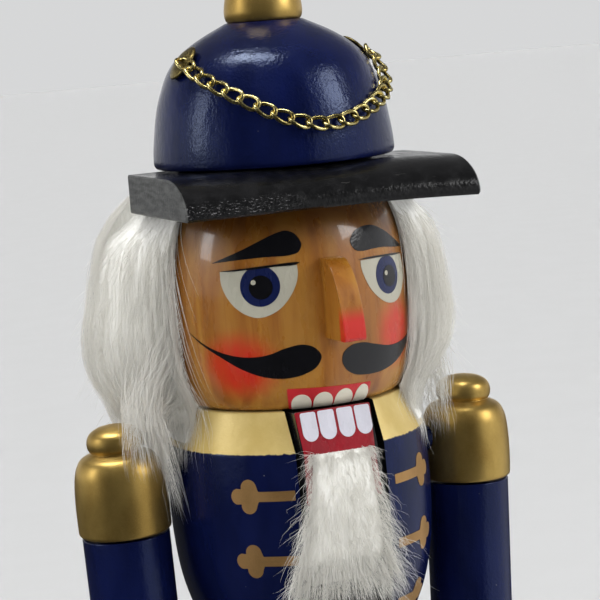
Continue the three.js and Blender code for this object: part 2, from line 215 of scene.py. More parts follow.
def wood_node(p, light, mid, dark):
    """Straight vertical grain with darker pores and a few wider bands."""
    band = p.noise(p.coords((0.16, 0.16, 0.010)), 1.0, 5, 0.6, 0.4)
    col = p.ramp(band, [(0.28, dark), (0.46, mid), (0.62, light), (0.8, mid)])
    fine = p.range(p.noise(p.coords((1.6, 1.6, 0.035)), 1.0, 4, 0.65), 0.52, 0.78)
    col = p.mix(p.math("MULTIPLY", fine, 0.35), col, dark)
    pores = p.range(p.noise(p.coords((4.5, 4.5, 0.16)), 1.0, 2), 0.66, 0.76)
    return p.mix(p.math("MULTIPLY", pores, 0.45), col, tuple(c * 0.5 for c in dark))


NAVY = gloss_paint("navy_paint", lin(10, 17, 54), rough=0.17, coat=0.02, peel=1.0, tint=(0.55, 0.68, 1.0))
BLACK = gloss_paint("black_paint", lin(17, 17, 19), rough=0.2, grain=0.3)
BLACK_FLAT = gloss_paint("slot_black", lin(14, 14, 15), rough=0.5, coat=0.0, specks=False)
GOLD = metallic_paint("antique_gold_paint", lin(206, 174, 100), lin(168, 136, 70), rough=0.36, metal=0.92)
WHITE = gloss_paint("white_paint", lin(232, 228, 218), rough=0.3, mottle=0.05, grain=0.3, specks=False)
CREAM_TEETH = gloss_paint("tooth_cream", lin(212, 206, 188), rough=0.3, mottle=0.05, grain=0.0, specks=False)
COOL_TEETH = gloss_paint("tooth_white", lin(204, 203, 213), rough=0.25, mottle=0.05, grain=0.0, specks=False)
EYE_WHITE = gloss_paint("eye_white", lin(176, 173, 157), rough=0.28, mottle=0.05, grain=0.1, specks=False)
EYE_BLUE = gloss_paint("eye_blue", lin(14, 26, 72), rough=0.25, mottle=0.12, grain=0.1, specks=False)
INK = gloss_paint("ink_black", lin(13, 13, 17), rough=0.2, mottle=0.2, grain=0.15, specks=False)
MOUTH_RED = gloss_paint("mouth_red", lin(184, 27, 35), rough=0.28, mottle=0.12, grain=0.1, specks=False)
JAW_RED = gloss_paint("jaw_red", lin(140, 16, 30), rough=0.25, mottle=0.2, grain=0.1, specks=False)
FROG_GOLD = metallic_paint("frogging_paint", lin(186, 146, 94), lin(158, 122, 74), rough=0.48, metal=0.7)


def brass(name, base, rough, dirt):
    p = Mat(name, rough=rough, metal=1.0)
    d = p.range(p.noise(p.coords(), 0.55, 5), 0.35, 0.7)
    p.color(p.mix(d, base, dirt))
    p.rough(p.range(p.noise(p.coords(), 1.7, 4), 0.3, 0.7, rough * 0.7, rough * 1.5))
    p.bump(p.noise(p.coords(), 2.5, 2), 0.12, 0.06)
    return p.m


BRASS = brass("chain_brass", lin(222, 208, 146), 0.22, lin(176, 156, 92))
TACK = brass("tack_brass", lin(150, 134, 82), 0.34, lin(96, 82, 46))


def varnished(name, light, mid, dark, cheeks_and_visor_shade=True):
    p = Mat(name, rough=0.3, coat=0.55, coat_rough=0.06)
    col = wood_node(p, light, mid, dark)
    if cheeks_and_visor_shade:
        red = lin(192, 23, 8)
        # Airbrushed cheeks: soft spots round points on the head's surface.
        for pt, sc, a, b, k in (
            ((-22.4, -22.8, 278.9), (0.9, 0.9, 1.1), 11.8, 4.0, 0.97),
            ((19.6, -25.6, 283.2), (1.0, 1.0, 0.95), 10.5, 3.0, 0.97),
        ):
            f = p.range(p.dist(pt, sc), a, b)
            grainy = p.range(p.noise(p.coords((1, 1, 0.3)), 0.5, 4), 0.2, 0.8, 0.75, 1.0)
            col = p.mix(p.math("MULTIPLY", p.math("MULTIPLY", f, grainy), k), col, red)
    if cheeks_and_visor_shade:  # painted shade: the wood darkens towards the hat, standing in for the visor's shadow on the forehead
        x, y, z = p.xyz()
        col = p.mix(p.range(z, 303.5, 316.0, 0.0, 0.8), col, tuple(c * 0.22 for c in dark))
    p.color(col)
    p.rough(p.range(p.noise(p.coords((0.2, 0.2, 0.06)), 1.0, 4), 0.3, 0.7, 0.22, 0.36))
    p.bump(p.noise(p.coords((1.3, 1.3, 0.03)), 1.0, 4), 0.22, 0.05)
    p.bump(p.noise(p.coords(), 0.35, 2), 0.10, 0.3)
    return p, col


HONEY = (lin(166, 115, 42), lin(151, 95, 30), lin(121, 69, 18))
FACE, _ = varnished("varnished_face", *HONEY)
FACE = FACE.m
HAND_WOOD, _ = varnished("varnished_wood", *HONEY, cheeks_and_visor_shade=False)
HAND_WOOD = HAND_WOOD.m


def nose_material():
    p, col = varnished("varnished_nose", *HONEY, cheeks_and_visor_shade=False)
    x, y, z = p.xyz()
    low = p.range(z, 294.0, 289.5)
    front = p.range(y, -41.6, -42.6)
    p.color(p.mix(p.math("MULTIPLY", p.math("MULTIPLY", low, front), 0.95), col, lin(190, 25, 21)))
    return p.m


NOSE = nose_material()


def bare_wood():
    p = Mat("bare_wood", rough=0.65)
    p.color(wood_node(p, lin(222, 190, 142), lin(206, 172, 122), lin(176, 138, 90)))
    p.bump(p.noise(p.coords((1.5, 1.5, 0.05)), 1.0, 3), 0.4, 0.08)
    return p.m


BARE = bare_wood()


def collar_navy():
    """The coat's navy with the collar painted gold above a slightly ragged line."""
    p = Mat("coat_paint", rough=0.17, coat=0.02, coat_rough=0.07, spec=0.42)
    p.b.inputs["Specular Tint"].default_value = (0.55, 0.68, 1.0, 1)
    x, y, z = p.xyz()
    wob = p.math("MULTIPLY", p.math("SUBTRACT", p.noise(p.coords((1, 1, 0.2)), 0.7, 4), 0.5), 0.8)
    gold = p.range(p.math("ADD", z, wob), 256.75, 257.05)
    hem = p.range(p.math("ADD", z, wob), 171.6, 171.2)
    gold = p.math("MAXIMUM", gold, hem)
    base = lin(10, 17, 54)
    navy = p.mix(p.range(p.noise(p.coords((0.10, 0.10, 0.035)), 1.0, 4), 0.3, 0.7), tuple(c * 0.75 for c in base), tuple(c * 1.25 for c in base))
    s = p.range(p.voronoi(p.coords(), 0.42), 0.075, 0.045)
    keep = p.range(p.noise(p.coords(), 0.21, 1), 0.60, 0.66)
    navy = p.mix(p.math("MULTIPLY", p.math("MULTIPLY", s, keep), 0.5), navy, (0.35, 0.33, 0.32))
    pale = p.mix(p.range(p.noise(p.coords((0.14, 0.14, 0.1)), 1.0, 5), 0.3, 0.7), lin(206, 179, 106), lin(221, 197, 129))
    p.color(p.mix(gold, navy, pale))
    p.put(p.b.inputs["Metallic"], p.math("MULTIPLY", gold, 0.3))
    fine = p.range(p.noise(p.coords((0.16, 0.16, 0.05)), 1.0, 4), 0.25, 0.75, 0.13, 0.25)
    p.rough(p.math("ADD", fine, p.math("MULTIPLY", gold, 0.18)))
    p.bump(p.noise(p.coords(), 0.5, 2), 0.25, 0.22)
    p.bump(p.noise(p.coords(), 1.5, 2), 0.6, 0.06)
    p.bump(p.noise(p.coords((0.8, 0.8, 0.05)), 1.0, 4), 0.4, 0.09)
    return p.m


COAT = collar_navy()


def visor_paint():
    """Thick black gloss on the visor board: orange peel, saw marks on the ends, scratches, and pale specks along the
    lower front edge painted in as glints.
    """
    p = Mat("visor_paint", rough=0.2, coat=0.05, coat_rough=0.08, spec=0.35)
    x, y, z = p.xyz()
    endgrain = p.range(p.math("ABSOLUTE", x), 38.2, 38.7)
    dull = p.noise(p.coords((0.3, 0.10, 0.5)), 1.0, 5)
    base = p.mix(p.range(dull, 0.35, 0.75), lin(9, 9, 10), lin(19, 19, 20))
    base = p.mix(p.math("MULTIPLY", endgrain, p.range(p.noise(p.coords((1, 0.25, 1.2)), 0.8, 4), 0.3, 0.7, 0.35, 0.8)), base, lin(96, 97, 96))
    scr = p.range(p.noise(p.coords((0.12, 1.4, 1.4), rot=(0.2, 0.1, 0.5)), 1.0, 5, 0.7), 0.685, 0.72)
    base = p.mix(p.math("MULTIPLY", scr, 0.35), base, lin(120, 118, 114))
    # painted highlight: pale specks along the lower front edge towards the figure's right, standing in for glints
    painted_glint = p.math("MULTIPLY", p.range(x, -5.0, -18.0), p.math("MULTIPLY", p.range(z, 318.0, 318.8), p.range(z, 322.6, 320.6)))
    painted_glint = p.math("MULTIPLY", painted_glint, p.range(p.noise(p.coords((0.8, 1.5, 2.4)), 1.3, 4, 0.7), 0.56, 0.72))
    base = p.mix(p.math("MULTIPLY", painted_glint, p.range(y, -37.0, -38.2)), base, lin(140, 138, 140))
    p.color(base)
    p.rough(p.math("ADD", p.range(dull, 0.3, 0.7, 0.14, 0.27), p.math("MULTIPLY", endgrain, 0.25)))
    p.bump(p.noise(p.coords(), 0.45, 3), 0.3, 0.3)
    p.bump(p.noise(p.coords(), 1.3, 2), 0.9, 0.08)
    p.bump(p.noise(p.coords((0.06, 1.2, 1.2)), 1.0, 3), 0.25, 0.06)
    return p.m


VISOR = visor_paint()


def fur_material(name, light, dark):
    """Fine white hairs that let some light through."""
    p = Mat(name, rough=0.45, spec=0.25, sheen=0.2)
    col = p.mix(p.island(), dark, light)
    big = p.range(p.noise(p.coords((0.12, 0.12, 0.05)), 1.0, 3), 0.3, 0.7)
    col = p.mix(p.math("MULTIPLY", big, 0.35), col, light)
    p.color(col)
    p.b.inputs["Sheen Roughness"].default_value = 0.4
    through = p.nt.nodes.new("ShaderNodeBsdfTranslucent")
    p.nt.links.new(col, through.inputs["Color"])
    both = p.nt.nodes.new("ShaderNodeMixShader")
    both.inputs[0].default_value = 0.45
    p.nt.links.new(p.b.outputs[0], both.inputs[1])
    p.nt.links.new(through.outputs[0], both.inputs[2])
    out = next(n for n in p.nt.nodes if n.type == "OUTPUT_MATERIAL")
    p.nt.links.new(both.outputs[0], out.inputs[0])
    return p.m


FUR = fur_material("white_fur", lin(254, 253, 249), lin(243, 241, 235))


def backing_material():
    p = Mat("fur_backing", rough=0.8, sheen=0.5)
    p.color(p.ramp(p.noise(p.coords((1.6, 1.6, 0.06)), 1.0, 4), [(0.3, lin(236, 235, 228)), (0.7, lin(252, 251, 246))]))
    p.bump(p.noise(p.coords((1.8, 1.8, 0.07)), 1.0, 4), 0.5, 0.4)
    return p.m


BACKING = backing_material()


def vinyl():
    p = Mat("belt_vinyl", rough=0.38)
    p.color(p.mix(p.range(p.noise(p.coords(), 0.5, 4), 0.3, 0.7), lin(20, 20, 21), lin(36, 35, 34)))
    p.bump(p.voronoi(p.coords(), 1.9), 0.35, 0.12)
    return p.m


VINYL = vinyl()


def steel():
    p = Mat("pin_steel", rough=0.32, metal=1.0)
    p.color(p.mix(p.range(p.noise(p.coords((0.05, 2, 2)), 1.0, 3), 0.3, 0.7), lin(150, 150, 152), lin(188, 188, 190)))
    return p.m


STEEL = steel()


def trouser():
    """White trousers above, black boots below with a painted gold band on the rolled top."""
    p = Mat("leg_paint", rough=0.26, coat=0.3, coat_rough=0.08)
    x, y, z = p.xyz()
    wob = p.math("MULTIPLY", p.math("SUBTRACT", p.noise(p.coords((1, 1, 0.3)), 0.6, 3), 0.5), 0.7)
    zz = p.math("ADD", z, wob)
    boot = p.range(zz, 98.6, 98.35)
    band = p.math("MULTIPLY", p.range(zz, 89.6, 89.9), boot)
    cloth = p.mix(p.range(p.noise(p.coords((0.12, 0.12, 0.03)), 1.0, 4), 0.3, 0.7), lin(222, 218, 208), lin(238, 235, 227))
    black = p.mix(p.range(p.noise(p.coords((0.12, 0.12, 0.05)), 1.0, 4), 0.3, 0.7), lin(15, 15, 16), lin(28, 27, 27))
    gold = p.mix(p.range(p.noise(p.coords(), 0.3, 4), 0.3, 0.7), lin(140, 112, 56), lin(178, 150, 84))
    p.color(p.mix(band, p.mix(boot, cloth, black), gold))
    p.put(p.b.inputs["Metallic"], p.math("MULTIPLY", band, 0.8))
    p.bump(p.noise(p.coords(), 0.55, 2), 0.10, 0.25)
    p.bump(p.noise(p.coords((1.1, 1.1, 0.03)), 1.0, 3), 0.3, 0.05)
    return p.m


LEGS = trouser()


def base_paint():
    p = Mat("base_paint", rough=0.28, coat=0.3, coat_rough=0.08)
    x, y, z = p.xyz()
    wob = p.math("MULTIPLY", p.math("SUBTRACT", p.noise(p.coords(), 0.5, 3), 0.5), 0.6)
    zz = p.math("ADD", z, wob)
    band = p.math("MULTIPLY", p.range(zz, 22.6, 22.9), p.range(zz, 28.2, 27.9))
    body = p.mix(p.range(p.noise(p.coords((0.05, 0.2, 0.2)), 1.0, 4), 0.3, 0.7), lin(15, 15, 16), lin(30, 29, 29))
    gold = p.mix(p.range(p.noise(p.coords(), 0.3, 4), 0.3, 0.7), lin(140, 112, 56), lin(178, 150, 84))
    p.color(p.mix(band, body, gold))
    p.put(p.b.inputs["Metallic"], p.math("MULTIPLY", band, 0.8))
    p.bump(p.noise(p.coords(), 0.5, 3), 0.16, 0.3)
    p.bump(p.noise(p.coords((0.05, 1.0, 1.0)), 1.0, 3), 0.25, 0.06)
    return p.m


BASE = base_paint()


# ------------------------------------------------------------------ mesh helpers
def make(name, verts, faces, mats, body, replaces=(), slot=None, sharp=38, index=None):
    me = bpy.data.meshes.new(name)
    me.from_pydata((np.asarray(verts, float) * MM).tolist(), [], [list(map(int, f)) for f in faces])
    me.validate()
    for m in mats if isinstance(mats, (list, tuple)) else [mats]:
        me.materials.append(m)
    return adopt(name, me, body, replaces, slot, sharp, index)


def adopt(name, me, body, replaces=(), slot=None, sharp=38, index=None):
    me.polygons.foreach_set("use_smooth", np.ones(len(me.polygons), bool))
    if sharp:
        me.set_sharp_from_angle(angle=math.radians(sharp))
    if index is not None:
        me.polygons.foreach_set("material_index", np.asarray(index, np.int32))
    me.update()
    ob = bpy.data.objects.new(name, me)
    scene.collection.objects.link(ob)
    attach(ob, body)
    if replaces:
        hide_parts(*([replaces] if isinstance(replaces, str) else replaces))
    return ob


def catmull(pts, sub, closed=False):
    p = np.asarray(pts, float)
    n = len(p)
    if n < 3 and not closed:
        return np.array([p[0] + (p[-1] - p[0]) * t for t in np.linspace(0, 1, sub + 1)])
    out = []
    for i in range(n if closed else n - 1):
        if closed:
            a, b, c, d = p[(i - 1) % n], p[i], p[(i + 1) % n], p[(i + 2) % n]
        else:
            b, c = p[i], p[i + 1]
            a = p[i - 1] if i else 2 * b - c
            d = p[i + 2] if i + 2 < n else 2 * c - b
        # centripetal knots, so that uneven points don't overshoot
        t0, t1 = 0.0, max(np.linalg.norm(b - a), 1e-9) ** 0.5
        t2 = t1 + max(np.linalg.norm(c - b), 1e-9) ** 0.5
        t3 = t2 + max(np.linalg.norm(d - c), 1e-9) ** 0.5
        for t in np.linspace(t1, t2, sub, endpoint=False):
            a1 = (t1 - t) / (t1 - t0) * a + (t - t0) / (t1 - t0) * b
            a2 = (t2 - t) / (t2 - t1) * b + (t - t1) / (t2 - t1) * c
            a3 = (t3 - t) / (t3 - t2) * c + (t - t2) / (t3 - t2) * d
            b1 = (t2 - t) / (t2 - t0) * a1 + (t - t0) / (t2 - t0) * a2
            b2 = (t3 - t) / (t3 - t1) * a2 + (t - t1) / (t3 - t1) * a3
            out.append((t2 - t) / (t2 - t1) * b1 + (t - t1) / (t2 - t1) * b2)
    if not closed:
        out.append(p[-1])
    return np.array(out)


def profile(points, sub=7, bevel=0.4):
    """(r, z) points, smooth between those marked as corners by a third value, which are rounded a little."""
    runs, cur = [], [points[0][:2]]
    for q in points[1:]:
        cur.append(q[:2])
        if len(q) > 2 and q is not points[-1]:
            runs.append(cur)
            cur = [q[:2]]
    runs.append(cur)
    dense = [catmull(r, sub) for r in runs]
    out = [dense[0]]
    for nxt in dense[1:]:
        prev = out[-1]
        corner = prev[-1]
        lp, ln = np.linalg.norm(prev - corner, axis=1), np.linalg.norm(nxt - corner, axis=1)
        bv = min(bevel, lp[0] * 0.45, ln[-1] * 0.45)
        kp, kn = prev[lp > bv * 1.05], nxt[ln > bv * 1.05]
        a = corner + (kp[-1] - corner) / np.linalg.norm(kp[-1] - corner) * bv
        b = corner + (kn[0] - corner) / np.linalg.norm(kn[0] - corner) * bv
        arc = np.array([(1 - t) ** 2 * a + 2 * t * (1 - t) * corner + t * t * b for t in np.linspace(0, 1, 5)])
        out[-1] = kp
        out += [arc, kn]
    return np.vstack(out)


def lathe(prof, seg=128, cx=0.0, cy=0.0, ring=False):
    """Vertices and faces of a turned form. The profile goes from axis to axis, or closes on itself as a ring."""
    verts, faces, rows = [], [], []
    for r, z in prof:
        if r < 1e-6:
            rows.append([len(verts)])
            verts.append((cx, cy, z))
        else:
            k = len(verts)
            rows.append(list(range(k, k + seg)))
            for i in range(seg):
                a = 2 * math.pi * i / seg
                verts.append((cx + r * math.sin(a), cy - r * math.cos(a), z))
    pairs = list(zip(rows, rows[1:]))
    if ring:
        pairs.append((rows[-1], rows[0]))
    for lo, hi in pairs:
        for i in range(seg):
            j = (i + 1) % seg
            if len(lo) == 1 and len(hi) == 1:
                break
            if len(lo) == 1:
                faces.append((lo[0], hi[j], hi[i]))
            elif len(hi) == 1:
                faces.append((lo[i], lo[j], hi[0]))
            else:
                faces.append((lo[i], lo[j], hi[j], hi[i]))
    return np.array(verts), faces


def boolean(name, target, cutters, op="DIFFERENCE"):
    """Mesh of target (verts, faces) cut by the cutters, by Blender's exact solver."""
    def temp(n, vf):
        me = bpy.data.meshes.new(n)
        me.from_pydata((np.asarray(vf[0], float) * MM).tolist(), [], [list(map(int, f)) for f in vf[1]])
        me.validate()
        ob = bpy.data.objects.new(n, me)
        scene.collection.objects.link(ob)
        return ob
    ob = temp(name + "_t", target)
    tools = [temp(f"{name}_c{i}", c) for i, c in enumerate(cutters)]
    for t in tools:
        m = ob.modifiers.new("b", "BOOLEAN")
        m.operation, m.solver, m.object = op, "EXACT", t
    me = bpy.data.meshes.new_from_object(ob.evaluated_get(bpy.context.evaluated_depsgraph_get()))
    for o in [ob, *tools]:
        old = o.data
        bpy.data.objects.remove(o)
        bpy.data.meshes.remove(old)
    me.name = name
    return me


def prism(outline, lo, hi, axis="x"):
    """A closed prism: outline of (y, z) points along X, or (x, y) along Z, or (x, z) along Y."""
    n = len(outline)
    put = {"x": lambda p, t: (t, p[0], p[1]), "z": lambda p, t: (p[0], p[1], t), "y": lambda p, t: (p[0], t, p[1])}[axis]
    v = [put(p, lo) for p in outline] + [put(p, hi) for p in outline]
    f = [tuple(range(n)), tuple(range(2 * n - 1, n - 1, -1))] + [(i, i + n, (i + 1) % n + n, (i + 1) % n) for i in range(n)]
    return orient(np.array(v), f)


def orient(v, f):
    """Turns the faces outwards if the enclosed volume is negative."""
    vol = 0.0
    for q in f:
        for k in range(1, len(q) - 1):
            vol += np.dot(v[q[0]], np.cross(v[q[k]], v[q[k + 1]]))
    return (v, f) if vol > 0 else (v, [tuple(reversed(q)) for q in f])


def rounded(outline, r, n=5):
    """Rounds every corner of a closed 2D outline by about r."""
    p = np.asarray(outline, float)
    out = []
    for i in range(len(p)):
        a, b, c = p[i - 1], p[i], p[(i + 1) % len(p)]
        la, lc = np.linalg.norm(a - b), np.linalg.norm(c - b)
        k = min(r, la * 0.45, lc * 0.45)
        s, e = b + (a - b) / la * k, b + (c - b) / lc * k
        out += [(1 - t) ** 2 * s + 2 * t * (1 - t) * b + t * t * e for t in np.linspace(0, 1, n)]
    return np.array(out)


def bevel_object(ob, width, segments=3, angle=35):
    """Rounds an object's edges in the mesh itself."""
    m = ob.modifiers.new("edge", "BEVEL")
    m.width, m.segments, m.limit_method, m.angle_limit = width * MM, segments, "ANGLE", math.radians(angle)
    m.harden_normals = False
    return m


def fill(outline, step):
    """Triangles over a closed 2D outline with an even grid of inner points: (points, triangles, boundary loop)."""
    o = np.asarray(outline, float)
    n = len(o)
    lo, hi = o.min(0), o.max(0)
    gx, gy = np.meshgrid(np.arange(lo[0] + step / 2, hi[0], step), np.arange(lo[1] + step / 2, hi[1], step))
    g = np.stack([gx.ravel(), gy.ravel()], 1)
    inside = np.zeros(len(g), bool)
    near = np.full(len(g), 1e9)
    for i in range(n):
        a, b = o[i], o[(i + 1) % n]
        cross = (a[1] > g[:, 1]) != (b[1] > g[:, 1])
        xs = a[0] + (g[:, 1] - a[1]) / (b[1] - a[1] + 1e-12) * (b[0] - a[0])
        inside ^= cross & (g[:, 0] < xs)
        d = b - a
        t = np.clip(((g - a) @ d) / (d @ d + 1e-12), 0, 1)
        near = np.minimum(near, np.linalg.norm(g - (a + t[:, None] * d), axis=1))
    g = g[inside & (near > step * 0.45)]
    pts = np.vstack([o, g])
    v, e, f, *_ = delaunay_2d_cdt([Vector(p) for p in pts], [(i, (i + 1) % n) for i in range(n)], [], 1, 1e-5)
    return np.array([list(p) for p in v]), [tuple(t) for t in f], n


class Surface:
    """A turned surface: radius and outward normal by height, from a profile."""

    def __init__(self, prof, cx=0.0, cy=0.0):
        p = np.asarray(prof)
        o = np.argsort(p[:, 1], kind="stable")
        self.r, self.z, self.c = p[o, 0], p[o, 1], (cx, cy)

    def at(self, az, z, off=0.0):
        az, z = np.radians(np.asarray(az, float)), np.asarray(z, float)
        r = np.interp(z, self.z, self.r)
        slope = (np.interp(z + 0.4, self.z, self.r) - np.interp(z - 0.4, self.z, self.r)) / 0.8
        n = np.sqrt(1 + slope**2)
        rr = r + off / n
        return np.stack([self.c[0] + rr * np.sin(az), self.c[1] - rr * np.cos(az), z - off * slope / n], -1)


def split(loop, step):
    """A closed outline with its long edges cut into pieces no longer than a step."""
    out = []
    for a, b in zip(loop, np.roll(loop, -1, axis=0)):
        n = max(1, math.ceil(np.linalg.norm(b - a) / step))
        out += [a + (b - a) * i / n for i in range(n)]
    return np.array(out)


def decal(name, surf, outline, mat, body, top=0.12, step=1.1, slot=None, rref=32.0):
    """A layer of paint of the given thickness on a turned surface, from an outline of (azimuth in degrees, z) points."""
    o = np.asarray(outline, float)
    k = math.radians(1) * rref
    uv = split(np.stack([o[:, 0] * k, o[:, 1]], 1), step)
    p, tri, n = fill(uv, step)
    az, z = p[:, 0] / k, p[:, 1]
    upper, lower = surf.at(az, z, top), surf.at(az, z, -0.25)
    v = np.vstack([upper, lower])
    m = len(p)
    f = list(tri) + [tuple(i + m for i in reversed(t)) for t in tri]
    edges = {}
    for t in tri:
        for a, b in zip(t, t[1:] + t[:1]):
            edges[(a, b)] = edges.get((a, b), 0) + 1
    f += [(b, a, a + m, b + m) for (a, b) in edges if (b, a) not in edges]
    v, f = orient(v, f)
    return make(name, v, f, mat, body, slot=slot, sharp=50)


def spline(points, sub=10):
    """A closed outline through (u, v) points, smooth but at those marked as corners by a third value."""
    pts = [tuple(p) for p in points]
    marks = [i for i, p in enumerate(pts) if len(p) > 2]
    if not marks:
        return catmull([p[:2] for p in pts], sub, closed=True)
    pts = pts[marks[0]:] + pts[: marks[0]]
    pts.append(pts[0])
    out, cur = [], [pts[0][:2]]
    for p in pts[1:]:
        cur.append(p[:2])
        if len(p) > 2:
            out.append(catmull(cur, sub)[:-1])
            cur = [p[:2]]
    return np.vstack(out)


def ellipse(az, z, w_mm, h_mm, n=48, rref=32.0):
    k = math.radians(1) * rref
    return [(az + w_mm / k * math.cos(t), z + h_mm * math.sin(t)) for t in np.linspace(0, 2 * math.pi, n, endpoint=False)]


# ------------------------------------------------------------------ camera and light
def camera():
    az, el, roll, f, dist, cx, cy = -21.26, 6.99, -4.46, 2238.15, 581.89, 284.25, 284.54
    a, e = math.radians(az), math.radians(el)
    back = Vector((math.sin(a) * math.cos(e), -math.cos(a) * math.cos(e), math.sin(e)))
    right = Vector((math.cos(a), math.sin(a), 0))
    up = back.cross(right)
    c, s = math.cos(math.radians(roll)), math.sin(math.radians(roll))
    right, up = c * right + s * up, -s * right + c * up
    pos = back * dist + Vector((0, 0, 295))
    aim = (right * ((300 - cx) / f) - up * ((300 - cy) / f) - back).normalized()
    b2 = -aim
    r2 = (right - b2 * right.dot(b2)).normalized()
    u2 = b2.cross(r2)
    cam = bpy.data.cameras.new("camera")
    cam.lens, cam.sensor_width, cam.sensor_fit = f / 600 * 36, 36, "AUTO"
    cam.clip_start, cam.clip_end = 0.01, 100
    ob = bpy.data.objects.new("camera", cam)
    scene.collection.objects.link(ob)
    m = Matrix((r2, u2, b2)).transposed().to_4x4()
    m.translation = pos * MM
    ob.matrix_world = m
    scene.camera = ob


camera()


def area(name, az, el, dist, size, radiance, along=None):
    """A soft box seen from the head at the given azimuth and elevation, of the given radiance, its first side along a direction."""
    a, e = math.radians(az), math.radians(el)
    z = Vector((math.cos(e) * math.sin(a), -math.cos(e) * math.cos(a), math.sin(e)))
    x = Vector(along) if along else Vector((math.cos(a), math.sin(a), 0))
    x = (x - z * x.dot(z)).normalized()
    li = bpy.data.lights.new(name, "AREA")
    li.shape, li.size, li.size_y = "RECTANGLE", size[0], size[1]
    li.energy = radiance * math.pi * size[0] * size[1]
    ob = bpy.data.objects.new(name, li)
    scene.collection.objects.link(ob)
    m = Matrix((x, z.cross(x), z)).transposed().to_4x4()
    m.translation = z * dist + Vector((0, 0, 0.29))
    ob.matrix_world = m


def fill_light(name, az, el, energy, angle):
    """Broad soft fill, too wide and even to show as a highlight."""
    li = bpy.data.lights.new(name, "SUN")
    li.energy, li.angle = energy, math.radians(angle)
    ob = bpy.data.objects.new(name, li)
    scene.collection.objects.link(ob)
    a, e = math.radians(az), math.radians(el)
    ob.rotation_euler = Vector((math.cos(e) * math.sin(a), -math.cos(e) * math.cos(a), math.sin(e))).to_track_quat("Z", "Y").to_euler()
    ob.visible_glossy = False


fill_light("fill_high", -48, 50, 1.15, 50)
fill_light("fill_front", -25, 15, 0.5, 60)
fill_light("fill_right_side", 100, 14, 1.5, 60)
fill_light("fill_right_front", 42, 15, 0.75, 60)
fill_light("fill_left_side", -115, 12, 0.5, 60)
area("left_box", -97, 20, 1.1, (0.24, 0.42), 4.5)
area("right_box", 50, 27, 1.1, (0.40, 0.42), 6.5)


def studio():
    """The surround: a soft box overhead, a pale horizon, and a dark room in front of the figure."""
    w = bpy.data.worlds.new("studio")
    scene.world = w
    w.use_nodes = True
    nt = w.node_tree
    bg = nt.nodes["Background"]
    tc = nt.nodes.new("ShaderNodeTexCoord")

    def put(socket, v):
        if hasattr(v, "links"):
            nt.links.new(v, socket)
        else:
            socket.default_value = v

    def dot_with(v):
        n = nt.nodes.new("ShaderNodeVectorMath")
        n.operation = "DOT_PRODUCT"
        nt.links.new(tc.outputs["Generated"], n.inputs[0])
        n.inputs[1].default_value = v
        return n.outputs["Value"]

    def dot(az, el):
        a, e = math.radians(az), math.radians(el)
        return dot_with((math.cos(e) * math.sin(a), -math.cos(e) * math.cos(a), math.sin(e)))

    def calc(op, a, b):
        n = nt.nodes.new("ShaderNodeMath")
        n.operation = op
        put(n.inputs[0], a)
        put(n.inputs[1], b)
        return n.outputs[0]

    def step(v, a, b, c=0.0, d=1.0):
        n = nt.nodes.new("ShaderNodeMapRange")
        n.interpolation_type = "SMOOTHSTEP"
        for k, x in zip(("From Min", "From Max", "To Min", "To Max"), (a, b, c, d)):
            put(n.inputs[k], x)
        put(n.inputs["Value"], v)
        return n.outputs[0]

    up = dot(0, 90)
    flat = calc("POWER", calc("MAXIMUM", calc("SUBTRACT", 1.0, calc("MULTIPLY", up, up)), 0.003), 0.5)
    toward = calc("DIVIDE", dot(-25, 0), flat)
    dark = calc("MULTIPLY", step(toward, 0.62, 0.79), step(up, 0.82, 0.66))
    level = calc("MULTIPLY", step(up, 0.10, 0.45, HORIZON, 0.18), step(up, -0.087, -0.04))
    low = step(calc("DIVIDE", dot(60, 0), flat), 0.3, 0.95, 0.04, 0.65)
    level = calc("ADD", level, calc("MULTIPLY", step(up, -0.04, -0.087), low))
    level = calc("ADD", calc("MULTIPLY", level, calc("SUBTRACT", 1.0, dark)), calc("MULTIPLY", dark, 0.03))
    # a long soft box overhead
    mid = Vector((math.cos(math.radians(79)) * math.sin(math.radians(-96)), -math.cos(math.radians(79)) * math.cos(math.radians(-96)), math.sin(math.radians(79))))
    along = Vector((0.40, -0.45, 0))
    along = (along - mid * along.dot(mid)).normalized()
    depth = calc("MAXIMUM", dot_with(mid), 0.05)
    sides = [calc("ABSOLUTE", calc("DIVIDE", dot_with(v), depth), 0.0) for v in (along, mid.cross(along))]
    box = calc("MULTIPLY", step(sides[0], 0.33, 0.27), step(sides[1], 0.14, 0.10))
    box = calc("MULTIPLY", box, step(up, 0.3, 0.4))
    level = calc("ADD", level, calc("MULTIPLY", box, STRIP))
    put(bg.inputs["Strength"], level)
    bg.inputs["Color"].default_value = (0.985, 0.992, 1.0, 1)


HORIZON, STRIP = 0.685, 14.0
studio()
scene.view_settings.view_transform = "Standard"


def floor():
    me = bpy.data.meshes.new("floor")
    n, h = 24, 12.0
    xs = np.linspace(-h, h, n + 1)
    v = [(x, y, 0.0) for y in xs for x in xs]
    f = [(j * (n + 1) + i, j * (n + 1) + i + 1, (j + 1) * (n + 1) + i + 1, (j + 1) * (n + 1) + i) for j in range(n) for i in range(n)]
    me.from_pydata(v, [], f)
    p = Mat("floor_paper", rough=0.85, spec=0.2)
    p.color(p.mix(p.range(p.noise(p.coords(), 0.02, 3), 0.3, 0.7), (0.514, 0.515, 0.515), (0.522, 0.523, 0.524)))
    me.materials.append(p.m)
    ob = bpy.data.objects.new("floor", me)
    scene.collection.objects.link(ob)
    ob.location.z = -0.0002
    ob.visible_glossy = False


floor()

# ------------------------------------------------------------------ head
HEAD_P = profile([(0, 267), (27.3, 267, 1), (28.6, 268.0), (30.2, 271), (31.5, 276), (32.2, 283), (32.4, 291), (32.2, 299), (31.3, 306.5), (29.8, 312.5), (27.9, 317.2, 1), (0, 317.2)])
HEAD_S = Surface([(r, z) for r, z in HEAD_P if r > 27.2 and 267.0 <= z <= 317.2])
make("head_turning", *lathe(HEAD_P, 160), FACE, "figure", "head", "varnished_wood")


